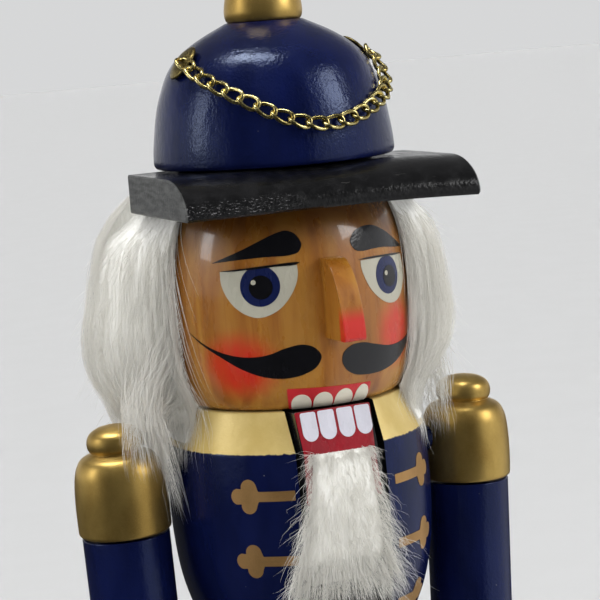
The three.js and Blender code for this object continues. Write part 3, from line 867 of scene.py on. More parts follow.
def nose():
    """Wedge nose with a curved ridge and softened edges, its back following the round of the face."""
    ridge = catmull([(-33.2, 304.7), (-36.2, 304.3), (-39.6, 301.6), (-42.2, 297.8), (-43.9, 293.0), (-44.8, 288.4), (-45.0, 285.6)], 5)
    outline = [tuple(p) for p in ridge] + [(-44.4, 284.9), (-31.4, 284.6), (-30.4, 304.6)]
    v, f = prism(rounded(outline, 0.25, 3), -2.6, 2.6)
    # the wedge widens slightly towards the tip
    v[:, 0] *= 1 + 0.10 * np.clip((-v[:, 1] - 33) / 12, 0, 1)
    ob = make("nose_wedge", v, f, NOSE, "figure", "nose", "varnished_wood")
    bevel_object(ob, 0.35, 3, 50)


nose()

# Painted face: outlines in (azimuth, z) on the head.
BROW_L = [(-55.0, 304.8, 1), (-46, 306.6), (-39.6, 307.9), (-31, 309.9), (-25, 311.2), (-18.5, 311.9), (-14.2, 310.7), (-12.1, 308.4), (-13.6, 306.7), (-17.5, 306.0), (-30, 305.9), (-42, 305.5)]
BROW_R = [(52.0, 303.8, 1), (44, 306.2), (36.5, 308.7), (28.5, 310.6), (20.5, 310.8), (14.6, 309.6), (12.0, 307.6), (13.6, 305.6), (17.6, 304.9), (24, 305.0), (32, 304.9), (44, 304.1)]
decal("brow_right", HEAD_S, spline(BROW_L), INK, "figure", 0.14)
decal("brow_left", HEAD_S, spline(BROW_R), INK, "figure", 0.14)
LID_L = [(-50.6, 302.85, 1), (-42, 303.25), (-31, 303.75), (-20, 304.15), (-15.8, 304.2), (-13.6, 304.05, 1), (-16.0, 303.55), (-24, 303.45), (-36, 303.05), (-46, 302.75)]
LID_R = [(48.6, 302.3, 1), (40, 302.75), (30, 303.05), (20, 303.15), (14.8, 302.95, 1), (20, 302.75), (30, 302.6), (40, 302.25)]
decal("lid_right", HEAD_S, spline(LID_L, 6), INK, "figure", 0.34, 0.9)
decal("lid_left", HEAD_S, spline(LID_R, 6), INK, "figure", 0.34, 0.9)
EYE_L = [(-50.6, 302.7, 1), (-40, 303.1), (-28, 303.4), (-15.0, 303.5, 1), (-14.9, 301.6), (-15.7, 299.4), (-18.4, 296.4), (-22.6, 293.6), (-27.8, 291.8), (-33.4, 291.1), (-38.8, 291.9), (-44.0, 293.9), (-48.0, 296.8), (-50.2, 299.9)]
EYE_R = [(48.2, 302.0, 1), (48.6, 299.6), (47.9, 296.6), (45.2, 293.6), (40.6, 291.4), (35.0, 290.6), (29.4, 291.2), (24.2, 293.0), (20.0, 295.4), (17.2, 298.4), (15.9, 300.8), (16.0, 302.6, 1), (26, 302.6), (37, 302.4)]
decal("eye_white_right", HEAD_S, spline(EYE_L), EYE_WHITE, "figure", 0.12)
decal("eye_white_left", HEAD_S, spline(EYE_R), EYE_WHITE, "figure", 0.12)


def clipped(out, zmax):
    """Cuts the top of an outline flat under a lid."""
    return [(a, min(z, zmax(a))) for a, z in out]


lid_l = lambda a: 303.3 + (a + 32) * 0.008
lid_r = lambda a: 302.5
decal("iris_right", HEAD_S, clipped(ellipse(-32.0, 298.9, 5.0, 5.05), lid_l), EYE_BLUE, "figure", 0.19)
decal("pupil_right", HEAD_S, ellipse(-31.6, 298.6, 2.95, 2.95), INK, "figure", 0.26, 0.9)
decal("glint_right", HEAD_S, ellipse(-34.8, 299.9, 0.62, 0.62, 24), EYE_WHITE, "figure", 0.33, 0.6)
decal("iris_left", HEAD_S, clipped(ellipse(32.6, 297.9, 4.75, 4.85), lid_r), EYE_BLUE, "figure", 0.19)
decal("pupil_left", HEAD_S, ellipse(33.6, 297.5, 2.7, 2.75), INK, "figure", 0.26, 0.9)
decal("glint_left", HEAD_S, ellipse(31.0, 298.4, 0.62, 0.62, 24), EYE_WHITE, "figure", 0.33, 0.6)
MOU_L = [(-71.0, 287.3, 1), (-60.6, 284.1), (-50.9, 282.2), (-41.1, 281.3), (-31.6, 281.6), (-22.2, 283.2), (-15.1, 283.7), (-9.7, 282.5), (-7.2, 280.4), (-9.1, 278.1), (-16.0, 276.1), (-25.1, 275.5), (-34.4, 276.3), (-43.6, 278.3), (-53.2, 281.3), (-62.9, 284.3)]
MOU_R = [(56.0, 283.4, 1), (49, 281.2), (42.1, 280.3), (30.8, 280.1), (20.7, 281.3), (13.4, 282.3), (6.8, 281.9), (3.2, 280.2), (2.6, 278.4), (4.2, 276.4), (8.5, 274.7), (14.8, 274.0), (25.5, 274.0), (36.6, 275.4), (44.8, 277.7), (51, 280.4)]
decal("moustache_right", HEAD_S, spline(MOU_L), INK, "figure", 0.15)
decal("moustache_left", HEAD_S, spline(MOU_R), INK, "figure", 0.15)


def mouth():
    top = [(a, 272.7 - 0.02 * (a + 23.8)) for a in np.linspace(-23.8, 19.1, 12)]
    out = rounded([(top[0][0], 267.25), *top, (top[-1][0], 267.25)], 0.35, 3)
    decal("upper_lip", HEAD_S, out, MOUTH_RED, "figure", 0.13)
    for i, (a0, a1, zt) in enumerate(((-22.4, -12.4, 271.0), (-11.5, -1.5, 271.1), (-0.6, 9.2, 271.3), (10.3, 18.6, 271.6))):
        c, h = (a0 + a1) / 2, (a1 - a0) / 2
        arch = [(c + h * math.cos(t), 268.4 + (zt - 268.4) * math.sin(t)) for t in np.linspace(0, math.pi, 17)]
        decal(f"upper_tooth_{i + 1}", HEAD_S, [(a1, 267.2), *arch, (a0, 267.2)], CREAM_TEETH, "figure", 0.24, 0.9)


mouth()

# ------------------------------------------------------------------ hat
DOME_P = profile([(0, 317.5), (25, 317.5, 1), (25, 327.6, 1), (30.5, 327.6, 1), (31.0, 328.6), (31.0, 331), (30.6, 334.7), (29.6, 341), (28.65, 344.7), (27.5, 348), (25.9, 351.6), (23.9, 354.4), (21.9, 356.3), (19.8, 357.9), (17.3, 359.5), (14.3, 361.1), (11.6, 362.4), (9.8, 363.3, 1), (0, 363.3)])
DOME_S = Surface([(r, z) for r, z in DOME_P if z >= 328.3])
make("hat_crown", *lathe(DOME_P, 160), NAVY, "figure", "hat_dome", "navy_painted_wood")
KNOB_P = profile([(0, 363.25), (9.3, 363.25, 1), (9.75, 363.9), (10.05, 365.2), (10, 366.8), (9.7, 368.7), (9, 371.5), (7.8, 374.6), (6, 377.3), (3.6, 379.2), (1.7, 379.85), (0, 380)])
make("hat_button", *lathe(KNOB_P, 96), GOLD, "figure", "hat_knob", "gold_painted_wood")


def visor():
    """Board with a rounded-over front edge, notched round the foot of the crown, warped down a little at one end."""
    z0, z1, half, back, front, run = 317.5, 327.3, 38.9, 3.4, -39.7, 14.5
    xs = np.concatenate([[-half, -half + 0.35], np.linspace(-half + 1.2, half - 1.2, 48), [half - 0.35, half]])
    pts, rows = [], []
    for x in xs:
        inset = 0.35 if half - abs(x) < 0.01 else 0.0
        warp = -1.0 * max(0.0, (x - 8) / 31) ** 1.5
        low, top, y0 = z0 + inset, z1 - inset, front + inset
        sec = [(back - inset, low), (back - inset, top), (back - 8.5, top), (back - 19, top)]
        for i in range(15):
            a = i / 14 * math.pi / 2
            sec.append((y0 + run * (1 - math.sin(a)), z0 + 1.1 + (top - z0 - 1.1) * math.cos(a)))
        sec += [(y0 + 0.15, z0 + 0.5 + inset * 0.3), (y0 + 0.7, low), (y0 + 12, low)]
        rows.append(range(len(pts), len(pts) + len(sec)))
        pts += [(x, y, z + warp) for y, z in sec]
    m = len(rows[0])
    faces = []
    for a, b in zip(rows, rows[1:]):
        faces += [(a[i], a[(i + 1) % m], b[(i + 1) % m], b[i]) for i in range(m)]
    faces += [tuple(rows[0]), tuple(reversed(rows[-1]))]
    v, f = orient(np.array(pts), faces)
    notch = lathe(np.array([(0, 310.0), (25.35, 310.0), (25.35, 335.0), (0, 335.0)]), 128)
    me = boolean("visor_board", (v, f), [orient(*notch)])
    me.materials.append(VISOR)
    adopt("visor_board", me, "figure", "visor", "black_painted_wood", 32)


visor()


def rosettes():
    """Round-headed brass tacks, driven in a little askew."""
    dense = profile([(0, -8), (0.85, -7, 1), (0.85, 0.3, 1), (4.6, 0.35), (4.92, 0.6), (4.8, 0.95), (4.2, 1.3), (3.2, 1.7), (2.0, 2.0), (1.0, 2.12), (0, 2.15)], 4, 0.15)
    v, f = lathe(dense, 64)
    for s, side in ((-1, "right"), (1, "left")):
        az, sink = (-80, -0.2) if s < 0 else (86, -0.9)
        base, tip = DOME_S.at(az, 354.0, sink), DOME_S.at(az, 354.0, sink + 1.0)
        n = Matrix.Rotation(math.radians(s * 10), 3, "Z") @ Vector(tip - base)
        q = Vector((0, 0, 1)).rotation_difference(n)
        w = np.array([q @ Vector(p) for p in v]) + base
        make("rosette_tack_" + side, *orient(w, f), TACK, "figure", "rosette_" + side, "brass")


rosettes()


def chain():
    """Curb chain of small twisted links, hung between the tacks and resting on the crown."""
    route = [(-74.5, 353.2), (-70.5, 352.9), (-65, 351.8), (-53.6, 349.2), (-42.5, 346.5), (-30.2, 343.4), (-19.5, 340.55), (-8.7, 338.3), (2.6, 337.2), (12.9, 337.5), (23.9, 338.8), (36.2, 340.9), (50.3, 343.4), (60.5, 346.2), (67, 349.2), (72.5, 351.6), (77.5, 353.2)]
    az, z = catmull(route, 24).T
    lift = 1.85 + 1.3 * np.clip((-az - 68) / 8, 0, 1)
    path = DOME_S.at(az, z, lift)
    outer = DOME_S.at(az, z, lift + 1.0)
    s = np.concatenate([[0], np.cumsum(np.linalg.norm(np.diff(path, axis=0), axis=1))])
    total = s[-1]
    n = int(total / 4.3)
    verts, faces = [], []
    half_l, half_w, wire = 2.7, 1.7, 0.53
    loop = []
    m = 28
    for t in np.linspace(0, 2 * math.pi, m, endpoint=False):
        x = half_l * np.sign(math.cos(t)) * abs(math.cos(t)) ** 0.85
        y = half_w * np.sign(math.sin(t)) * abs(math.sin(t)) ** 0.75
        # a curb link is twisted along its length so that it lies flat
        tw = 0.5 * (x / half_l)
        loop.append((x, y * math.cos(tw), y * math.sin(tw)))
    loop = np.array(loop)
    for i in range(n):
        d = (i + 0.5) * total / n
        p = np.array([np.interp(d, s, path[:, k]) for k in range(3)])
        q = np.array([np.interp(d + 0.8, s, path[:, k]) - np.interp(d - 0.8, s, path[:, k]) for k in range(3)])
        o = np.array([np.interp(d, s, outer[:, k]) for k in range(3)])
        tx = q / np.linalg.norm(q)
        nz = o - p
        nz -= tx * (nz @ tx)
        nz /= np.linalg.norm(nz)
        by = np.cross(nz, tx)
        roll = -0.5 + rng.uniform(-0.08, 0.08)
        by, nz = by * math.cos(roll) + nz * math.sin(roll), nz * math.cos(roll) - by * math.sin(roll)
        pts = p + loop[:, :1] * tx + loop[:, 1:2] * by + loop[:, 2:] * nz
        base = len(verts)
        for j in range(m):
            tang = pts[(j + 1) % m] - pts[j - 1]
            tang /= np.linalg.norm(tang)
            side = np.cross(tang, nz)
            side /= np.linalg.norm(side)
            up = np.cross(side, tang)
            for k in range(8):
                a = 2 * math.pi * k / 8
                verts.append(pts[j] + wire * (math.cos(a) * side + math.sin(a) * up))
        for j in range(m):
            for k in range(8):
                a, b = base + j * 8, base + (j + 1) % m * 8
                faces.append((a + k, b + k, b + (k + 1) % 8, a + (k + 1) % 8))
    v = np.array(verts)
    me_v, me_f = orient(v, faces)
    make("hat_chain_links", me_v, me_f, BRASS, "figure", "hat_chain", "brass", sharp=0)


chain()

# ------------------------------------------------------------------ coat
COAT_P = profile([(0, 166), (31.4, 166, 1), (33.2, 167.4), (33.6, 171), (32.3, 180), (29.6, 189), (27, 195.4), (25.7, 196.7, 1), (25.6, 205.2, 1), (26.8, 206), (28.8, 209.5), (31.2, 215.5), (33, 223), (34, 232), (34.3, 240), (34.1, 248), (33.55, 256.7, 1), (31, 261.7), (28.6, 266.7, 1), (0, 266.7)])
COAT_S = Surface([(r, z) for r, z in COAT_P if r > 25.0 and z >= 205.3])
SLOT = [(-60, 204.9), (-22, 205.6), (-5, 209), (60, 209), (60, 249), (12, 249), (6, 256), (6, 280), (-60, 280)]


def torso():
    me = boolean("coat", lathe(COAT_P, 160), [prism(SLOT, -12.6, 11.2)])
    me.materials.append(COAT)
    me.materials.append(BLACK_FLAT)
    idx = []
    for p in me.polygons:
        c = p.center / MM
        inside = -12.62 < c.x < 11.22 and (c.x * c.x + c.y * c.y) ** 0.5 < np.interp(c.z, COAT_S.z, COAT_S.r) - 0.15 and 204 < c.z < 266.6
        idx.append(1 if inside else 0)
    adopt("coat_turning", me, "figure", "torso", "navy_painted_wood", 35, idx)


torso()


def frogging():
    """Painted braid: a bar towards the slot with three round lobes at its outer end, in rows down the chest."""
    # outline of the lobes in millimetres round their centre, then laid on the coat
    arc = []
    for (cx, cz), (t0, t1) in zip(((0.9, 2.3), (-1.9, 0.0), (0.9, -2.3)), ((10, 192), (105, 255), (168, 350))):
        arc += [(cx + 2.05 * math.cos(math.radians(t)), cz + 2.05 * math.sin(math.radians(t))) for t in np.linspace(t0, t1, 14)]
    for s, side in ((-1, "right"), (1, "left")):
        for i, zc in enumerate((246.5, 229.9, 213.6)):
            r0 = np.interp(zc, COAT_S.z, COAT_S.r)
            k = math.degrees(1 / r0)
            a0 = (48.6 if side == "right" else 49.4) - 2.2 * k
            length = (a0 - math.degrees(math.asin(13.6 / r0))) / k
            poly = rounded([(length, 1.25), (3.4, 1.25), *arc, (3.4, -1.25), (length, -1.25)], 0.22, 3)
            outline = [(s * (a0 - px * k), zc + pz) for px, pz in poly]
            decal(f"frog_{side}_{i + 1}", COAT_S, outline, FROG_GOLD, "figure", 0.11, 1.0, rref=r0)


frogging()

BELT_P = profile([(25.75, 197.3, 1), (27.2, 197.3, 1), (27.5, 200.9), (27.2, 204.6, 1), (25.75, 204.6, 1), (25.75, 197.31)], 4, 0.3)
make("waist_belt", *orient(*lathe(BELT_P[:-1], 128, ring=True)), VINYL, "figure", "belt", "black_vinyl")


def buckle():
    """Stamped frame bent to the waist."""
    def bent(x, z, y):
        return (x, y + x * x / 58.0, z)
    outer = rounded([(-7, 196.6), (7, 196.6), (7, 205.4), (-7, 205.4)], 1.6, 5)
    inner = rounded([(-4.6, 198.7), (4.6, 198.7), (4.6, 203.3), (-4.6, 203.3)], 0.9, 5)
    n = len(outer)
    v = [bent(x, z, y) for y in (-29.15, -27.75) for ring_ in (outer, inner) for x, z in ring_]
    f = []
    for i in range(n):
        j = (i + 1) % n
        f += [(i, j, n + j, n + i), (2 * n + j, 2 * n + i, 3 * n + i, 3 * n + j), (j, i, 2 * n + i, 2 * n + j), (n + i, n + j, 3 * n + j, 3 * n + i)]
    ob = make("buckle_frame", *orient(np.array(v), f), TACK, "figure", "belt_buckle", "brass")
    bevel_object(ob, 0.3, 2, 40)


buckle()


# ------------------------------------------------------------------ jaw
def jaw():
    lever = [(-30, 266.4), (-33.2, 256.6), (-33.8, 249), (-34, 240), (-33.7, 231), (-32.8, 224), (-30.5, 222), (-14, 219), (8, 211.6), (30, 212.2), (36.6, 209.5),
             (36.9, 190), (37.1, 168), (37.8, 152), (39.4, 143.5), (41.8, 140.6), (44.8, 141.2), (46.8, 145.5), (46.8, 160), (46.6, 190), (46.2, 219), (44.8, 227.6), (40.4, 232.6),
             (30, 234.4), (8, 233.6), (-6, 236), (-10, 242), (-11, 252), (-11, 266.4)]
    hole = lathe(np.array([(0, -20.0), (2.25, -20.0), (2.25, 20.0), (0, 20.0)]), 48)
    hv = np.stack([hole[0][:, 2], hole[0][:, 1] + 8, hole[0][:, 0] + 222], 1)
    arm = [(-25, 221), (-14, 219), (8, 211.6), (30, 212.2), (33, 211.1), (33, 233.9), (30, 234.4), (8, 233.6), (-6, 236), (-10, 242), (-11, 252), (-11, 262), (-25, 262)]
    me = boolean("jaw_front", prism(rounded(lever, 1.0, 4), -11.7, 8.7), [prism(rounded(arm, 1.0, 4), -12.1, 10.7)], "UNION")
    both = (np.array([v.co[:] for v in me.vertices]) / MM, [tuple(p.vertices) for p in me.polygons])
    me = boolean("jaw_board", both, [orient(hv, hole[1])])
    me.materials.append(BLACK)
    ob = adopt("jaw_board", me, "jaw", "jaw_lever", "black_painted_wood", 30)
    bevel_object(ob, 0.5, 3, 40)


jaw()


def jaw_face():
    """The jaw's painted front: a red plate with four long teeth."""
    def front(x, z):
        y = np.interp(z, [222, 231, 240, 249, 256.6, 266.4], [-32.6, -33.7, -34.0, -33.8, -33.2, -30.0])
        return y
    def panel(name, outline, mat, top, step=1.0):
        p, tri, n = fill(outline, step)
        y = front(p[:, 0], p[:, 1])
        slope = (front(p[:, 0], p[:, 1] + 0.4) - front(p[:, 0], p[:, 1] - 0.4)) / 0.8
        nrm = np.sqrt(1 + slope**2)
        up = np.stack([p[:, 0], y - top / nrm, p[:, 1] + top * slope / nrm], 1)
        dn = np.stack([p[:, 0], y + 0.25, p[:, 1]], 1)
        m = len(p)
        f = list(tri) + [tuple(i + m for i in reversed(t)) for t in tri]
        edges = {(a, b) for t in tri for a, b in zip(t, t[1:] + t[:1])}
        f += [(b, a, a + m, b + m) for a, b in edges if (b, a) not in edges]
        make(name, *orient(np.vstack([up, dn]), f), mat, "jaw", sharp=50)
    panel("jaw_plate", rounded([(-11.65, 244), (8.65, 244), (8.65, 266.8), (-11.65, 266.8)], 0.4, 3), JAW_RED, 0.14)
    for i, (x0, x1, zb) in enumerate(((-10.45, -6.3, 259.45), (-5.75, -1.4, 259.4), (-0.65, 3.6, 259.3), (4.15, 8.3, 259.4))):
        c, h = (x0 + x1) / 2, (x1 - x0) / 2
        arch = [(c + h * math.cos(t), zb + 2.2 + 2.2 * math.sin(t)) for t in np.linspace(math.pi, 2 * math.pi, 17)]
        out = arch + [(x1, 265.9), (x1 - 0.15, 266.35), (x1 - 0.5, 266.5), (x0 + 0.5, 266.5), (x0 + 0.15, 266.35), (x0, 265.9)]
        panel(f"lower_tooth_{i + 1}", out, COOL_TEETH, 0.26, 0.9)


jaw_face()

# ------------------------------------------------------------------ arms, legs, base
CAP_P = profile([(0, 237.1), (11.2, 237.1, 1), (11.8, 237.7), (11.9, 239), (11.9, 245), (11.6, 250), (10.9, 254), (9.5, 256.6), (7.4, 257.8), (6.45, 258.25, 1), (7.1, 259.1), (7.3, 260.8), (6.6, 262.8), (4.6, 264.2), (2, 264.8), (0, 264.9)], 6, 0.25)
SLEEVE_P = profile([(0, 158), (10.5, 158, 1), (11.0, 196), (11.2, 236.6, 1), (6, 236.6, 1), (6, 243, 1), (0, 243)])
CUFF_P = profile([(4.3, 150, 1), (11.6, 150, 1), (12.2, 151.2), (12.2, 156.4), (11.6, 157.7, 1), (4.3, 157.7, 1), (4.3, 150.01)], 5, 0.5)
HAND_P = profile([(0, 127), (4.6, 127.8), (8.2, 131.5), (9.5, 137.5), (8.6, 144), (6.8, 149.6, 1), (4, 149.7, 1), (4, 166, 1), (0, 166)])
LEG_P = profile([(0, 30.3), (13.5, 30.3, 1), (14, 32), (13, 46), (12.3, 60), (12.9, 79), (14.5, 89.8, 1), (15.2, 92.6), (15.0, 95.8), (14.2, 98.0), (13.2, 98.4, 1), (13.6, 112), (14.5, 136), (14.7, 153), (13.8, 163), (12.6, 165.6, 1), (0, 165.6)])
ARM_X = 48.9


def lean(vf, s):
    """An arm piece leaned in towards the waist about its shoulder."""
    v, t, x0 = np.array(vf[0], float), math.radians(1.8 * s), s * ARM_X
    dx, dz = v[:, 0] - x0, v[:, 2] - 249.0
    v[:, 0], v[:, 2] = x0 + dx * math.cos(t) + dz * math.sin(t), 249.0 - dx * math.sin(t) + dz * math.cos(t)
    return v, vf[1]


for s, side in ((-1, "right"), (1, "left")):
    body, x = side + "_arm", s * ARM_X
    make("shoulder_cap_" + side, *lean(lathe(CAP_P, 112, x), s), GOLD, body, "epaulette_" + side, "gold_painted_wood")
    make("sleeve_turning_" + side, *lean(lathe(SLEEVE_P, 112, x), s), NAVY, body, "sleeve_" + side, "navy_painted_wood")
    make("cuff_ring_" + side, *lean(orient(*lathe(CUFF_P[:-1], 96, x, ring=True)), s), GOLD, body, "cuff_" + side, "gold_painted_wood")
    th_p = profile([(0, -6.0), (2.2, -4.9), (3.2, -1.8), (3.1, 1.8), (2.2, 4.6), (0, 6.0)], 5)
    tv, tf = lathe(th_p, 40)
    tv = tv * (0.95, 1.1, 1.0)
    t = math.radians(12)
    tv = np.stack([tv[:, 0], tv[:, 1] * math.cos(t) - tv[:, 2] * math.sin(t), tv[:, 1] * math.sin(t) + tv[:, 2] * math.cos(t)], 1) + (x - s * 2, -8.0, 139.5)
    me = boolean("hand_" + side, lean(orient(*lathe(HAND_P, 96, x)), s), [lean(orient(tv, tf), s)], "UNION")
    me.materials.append(HAND_WOOD)
    adopt("hand_turning_" + side, me, body, "hand_" + side, "varnished_wood", 40)
    make("leg_turning_" + side, *lathe(LEG_P, 112, s * 17.0, 4.0), LEGS, "figure", "leg_" + side, "white_painted_wood")


def toes():
    for s, side in ((-1, "right"), (1, "left")):
        v, f = [], []
        n, m = 56, 18
        for j in range(m):
            t = j / (m - 1) * math.pi / 2
            for i in range(n):
                a = 2 * math.pi * i / n
                r = math.cos(t) ** 0.9
                v.append((s * 18 + 12 * r * math.sin(a), -8.5 - 18.5 * r * math.cos(a), 30.3 + 12.4 * math.sin(t) ** 0.9))
        f.append(tuple(range(n - 1, -1, -1)))
        for j in range(m - 1):
            f += [(j * n + i, j * n + (i + 1) % n, (j + 1) * n + (i + 1) % n, (j + 1) * n + i) for i in range(n)]
        leg = profile([(0, 25.0), (13.9, 25.0, 1), (14.4, 32), (13.4, 46), (12.7, 60), (0, 60)])
        inner = [(-0.6, -60), (60, -60), (60, 60), (-0.6, 60)] if s < 0 else [(-60, -60), (0.6, -60), (0.6, 60), (-60, 60)]
        me = boolean("toe_" + side, orient(np.array(v), f), [lathe(leg, 112, s * 17.0, 4.0), prism([(-60, -2), (60, -2), (60, 60), (-60, 60)], 0, 90, "z"), prism(inner, 0, 90, "z")])
        me.materials.append(BLACK)
        adopt("boot_toe_" + side, me, "figure", "toe_" + side, "black_painted_wood", 40)


toes()


def base():
    def slab(w, d, r, z):
        out = []
        for cx, cy, a0 in ((w / 2 - r, -d / 2 + r, -90), (w / 2 - r, d / 2 - r, 0), (-w / 2 + r, d / 2 - r, 90), (-w / 2 + r, -d / 2 + r, 180)):
            out += [(cx + r * math.cos(math.radians(a0 + t)), cy + r * math.sin(math.radians(a0 + t)), z) for t in np.linspace(0, 90, 10)]
        return out
    rings = [slab(107.2, 93.2, 8.6, 0.0), slab(108, 94, 9, 0.5), slab(108, 94, 9, 18.6), slab(107.6, 93.6, 8.8, 19.6), slab(106.6, 92.6, 8.3, 20.5), slab(105.2, 91.2, 7.6, 21.0),
             slab(100.2, 86.2, 6.2, 21.0), slab(99.2, 85.2, 6, 21.5), slab(99, 85, 6, 22.2), slab(99, 85, 6, 28.2), slab(98.6, 84.6, 5.8, 29.2), slab(97.6, 83.6, 5.4, 29.8), slab(96.4, 82.4, 5.0, 30.0)]
    n = len(rings[0])
    v = np.array([p for r in rings for p in r])
    f = [tuple(range(n - 1, -1, -1)), tuple(range((len(rings) - 1) * n, len(rings) * n))]
    for j in range(len(rings) - 1):
        f += [(j * n + i, j * n + (i + 1) % n, (j + 1) * n + (i + 1) % n, (j + 1) * n + i) for i in range(n)]
    make("plinth", *orient(v, f), BASE, "figure", "base_block", "black_painted_wood", 40)


base()


# ------------------------------------------------------------------ fur
def strands(name, paths, radius, body, replaces=(), taper=0.75):
    """Closed three-sided hairs along paths (count, points, 3), thinning to a point."""
    c, k, _ = paths.shape
    tan = np.gradient(paths, axis=1)
    tan /= np.linalg.norm(tan, axis=2, keepdims=True) + 1e-9
    ref = np.tile(np.array([0.31, 0.77, 0.55]), (c, 1)) + rng.normal(0, 0.3, (c, 3))
    e1 = np.cross(tan, ref[:, None, :])
    e1 /= np.linalg.norm(e1, axis=2, keepdims=True) + 1e-9
    e2 = np.cross(tan, e1)
    t = np.linspace(0, 1, k)
    w = radius[:, None] * (1 - taper * t**1.5)[None, :]
    rings = []
    for a in (0.0, 2 * math.pi / 3, 4 * math.pi / 3):
        rings.append(paths + w[:, :, None] * (math.cos(a) * e1 + math.sin(a) * e2))
    ring = np.stack(rings, 2)[:, : k - 1]  # count, k-1, 3 sides, xyz
    tip = paths[:, -1:, :]
    per = 3 * (k - 1) + 1
    v = np.concatenate([ring.reshape(c, -1, 3), tip], 1).reshape(-1, 3)
    quads, tris = [], []
    for j in range(k - 2):
        for i in range(3):
            quads.append((3 * j + i, 3 * j + (i + 1) % 3, 3 * j + 3 + (i + 1) % 3, 3 * j + 3 + i))
    last = 3 * (k - 2)
    for i in range(3):
        tris.append((last + i, last + (i + 1) % 3, per - 1))
    tris.append((2, 1, 0))
    off = (np.arange(c) * per)[:, None, None]
    q = (np.array(quads)[None] + off).reshape(-1, 4)
    r = (np.array(tris)[None] + off).reshape(-1, 3)
    me = bpy.data.meshes.new(name)
    me.vertices.add(len(v))
    me.vertices.foreach_set("co", (v * MM).astype(np.float32).ravel())
    me.loops.add(q.size + r.size)
    me.loops.foreach_set("vertex_index", np.concatenate([q.ravel(), r.ravel()]).astype(np.int32))
    me.polygons.add(len(q) + len(r))
    starts = np.concatenate([np.arange(len(q)) * 4, q.size + np.arange(len(r)) * 3]).astype(np.int32)
    me.polygons.foreach_set("loop_start", starts)
    me.update(calc_edges=True)
    me.validate()
    me.materials.append(FUR)
    return adopt(name, me, body, replaces, "white_fur", 0)


def smoothstep(x):
    x = np.clip(x, 0, 1)
    return x * x * (3 - 2 * x)


TORSO_Z = np.array([150, 205, 209.5, 215.5, 223, 232, 240, 248, 256.7, 261.7, 266.7, 267, 330.0])
TORSO_R = np.array([20, 25.6, 28.8, 31.2, 33, 34, 34.3, 34.1, 33.55, 31, 28.6, 20, 20])
CAP_Z = np.array([120, 237, 237.1, 245, 250, 254, 256.6, 257.8, 259, 260.8, 262.8, 264.2, 264.9, 265.2])
CAP_R = np.array([11.2, 11.2, 11.9, 11.9, 11.6, 10.9, 9.5, 7.6, 7.2, 7.3, 6.6, 4.6, 1.0, 0.0])


def clear_of_body(p, pad=0.5):
    """Pushes hair points out of the head, the coat and the shoulder caps."""
    z = p[..., 2]
    r = np.hypot(p[..., 0], p[..., 1])
    need = np.maximum(np.interp(z, HEAD_S.z, HEAD_S.r, left=0, right=0), np.interp(z, TORSO_Z, TORSO_R)) + pad
    k = np.where(r < need, need / np.maximum(r, 1e-6), 1.0)
    p[..., 0] *= k
    p[..., 1] *= k
    for s in (-1, 1):
        dx, dy = p[..., 0] - s * ARM_X, p[..., 1]
        d = np.hypot(dx, dy)
        lim = np.interp(z, CAP_Z, CAP_R) + pad
        hit = (d < lim) & (z < 265.3)
        k = np.where(hit, lim / np.maximum(d, 1e-6), 1.0)
        p[..., 0] = np.where(hit, s * ARM_X + dx * k, p[..., 0])
        p[..., 1] = np.where(hit, dy * k, p[..., 1])
    return p


def lofted(name, rings, mat, body, slot):
    """A closed skin over rings of points, each ring a full loop."""
    n, m = len(rings), len(rings[0])
    v = np.vstack([np.asarray(r, float) for r in rings])
    f = [tuple(range(m)), tuple(range(n * m - 1, (n - 1) * m - 1, -1))]
    for j in range(n - 1):
        f += [(j * m + i, (j + 1) * m + i, (j + 1) * m + (i + 1) % m, j * m + (i + 1) % m) for i in range(m)]
    return make(name, *orient(v, f), mat, body, slot=slot, sharp=60)


HAIR_Z = np.array([230, 238, 246, 252, 258, 264, 271, 278, 285, 293, 303, 309.5, 317, 326])
HAIR_T = np.array([4.0, 6.5, 9.5, 12.0, 15.0, 17.6, 18.8, 19.9, 19.8, 17.8, 16.7, 15.5, 13.6, 5.0])
HAIR_AZ = (52.0, 281.5)  # the fur's front edges, at the figure's left and right


def hair_base(z):
    return np.where(z < 267, 29.0, np.interp(z, HEAD_S.z, HEAD_S.r, left=28.5, right=28.0))


def hair_edge(e):
    """The pile's share of its full thickness, by degrees in from the fur's front edge."""
    return 0.14 + 0.86 * smoothstep(e / 26)


def hair_side(az):
    """The pile is flatter at the figure's left."""
    return 0.55 + 0.45 * smoothstep((az - 110) / 70)


def hair_low(z, az):
    """At the figure's left the ends of the pile lie closer to the neck."""
    return 1 - 0.62 * (1 - smoothstep((z - 257) / 26)) * (1 - smoothstep((az - 105) / 45))


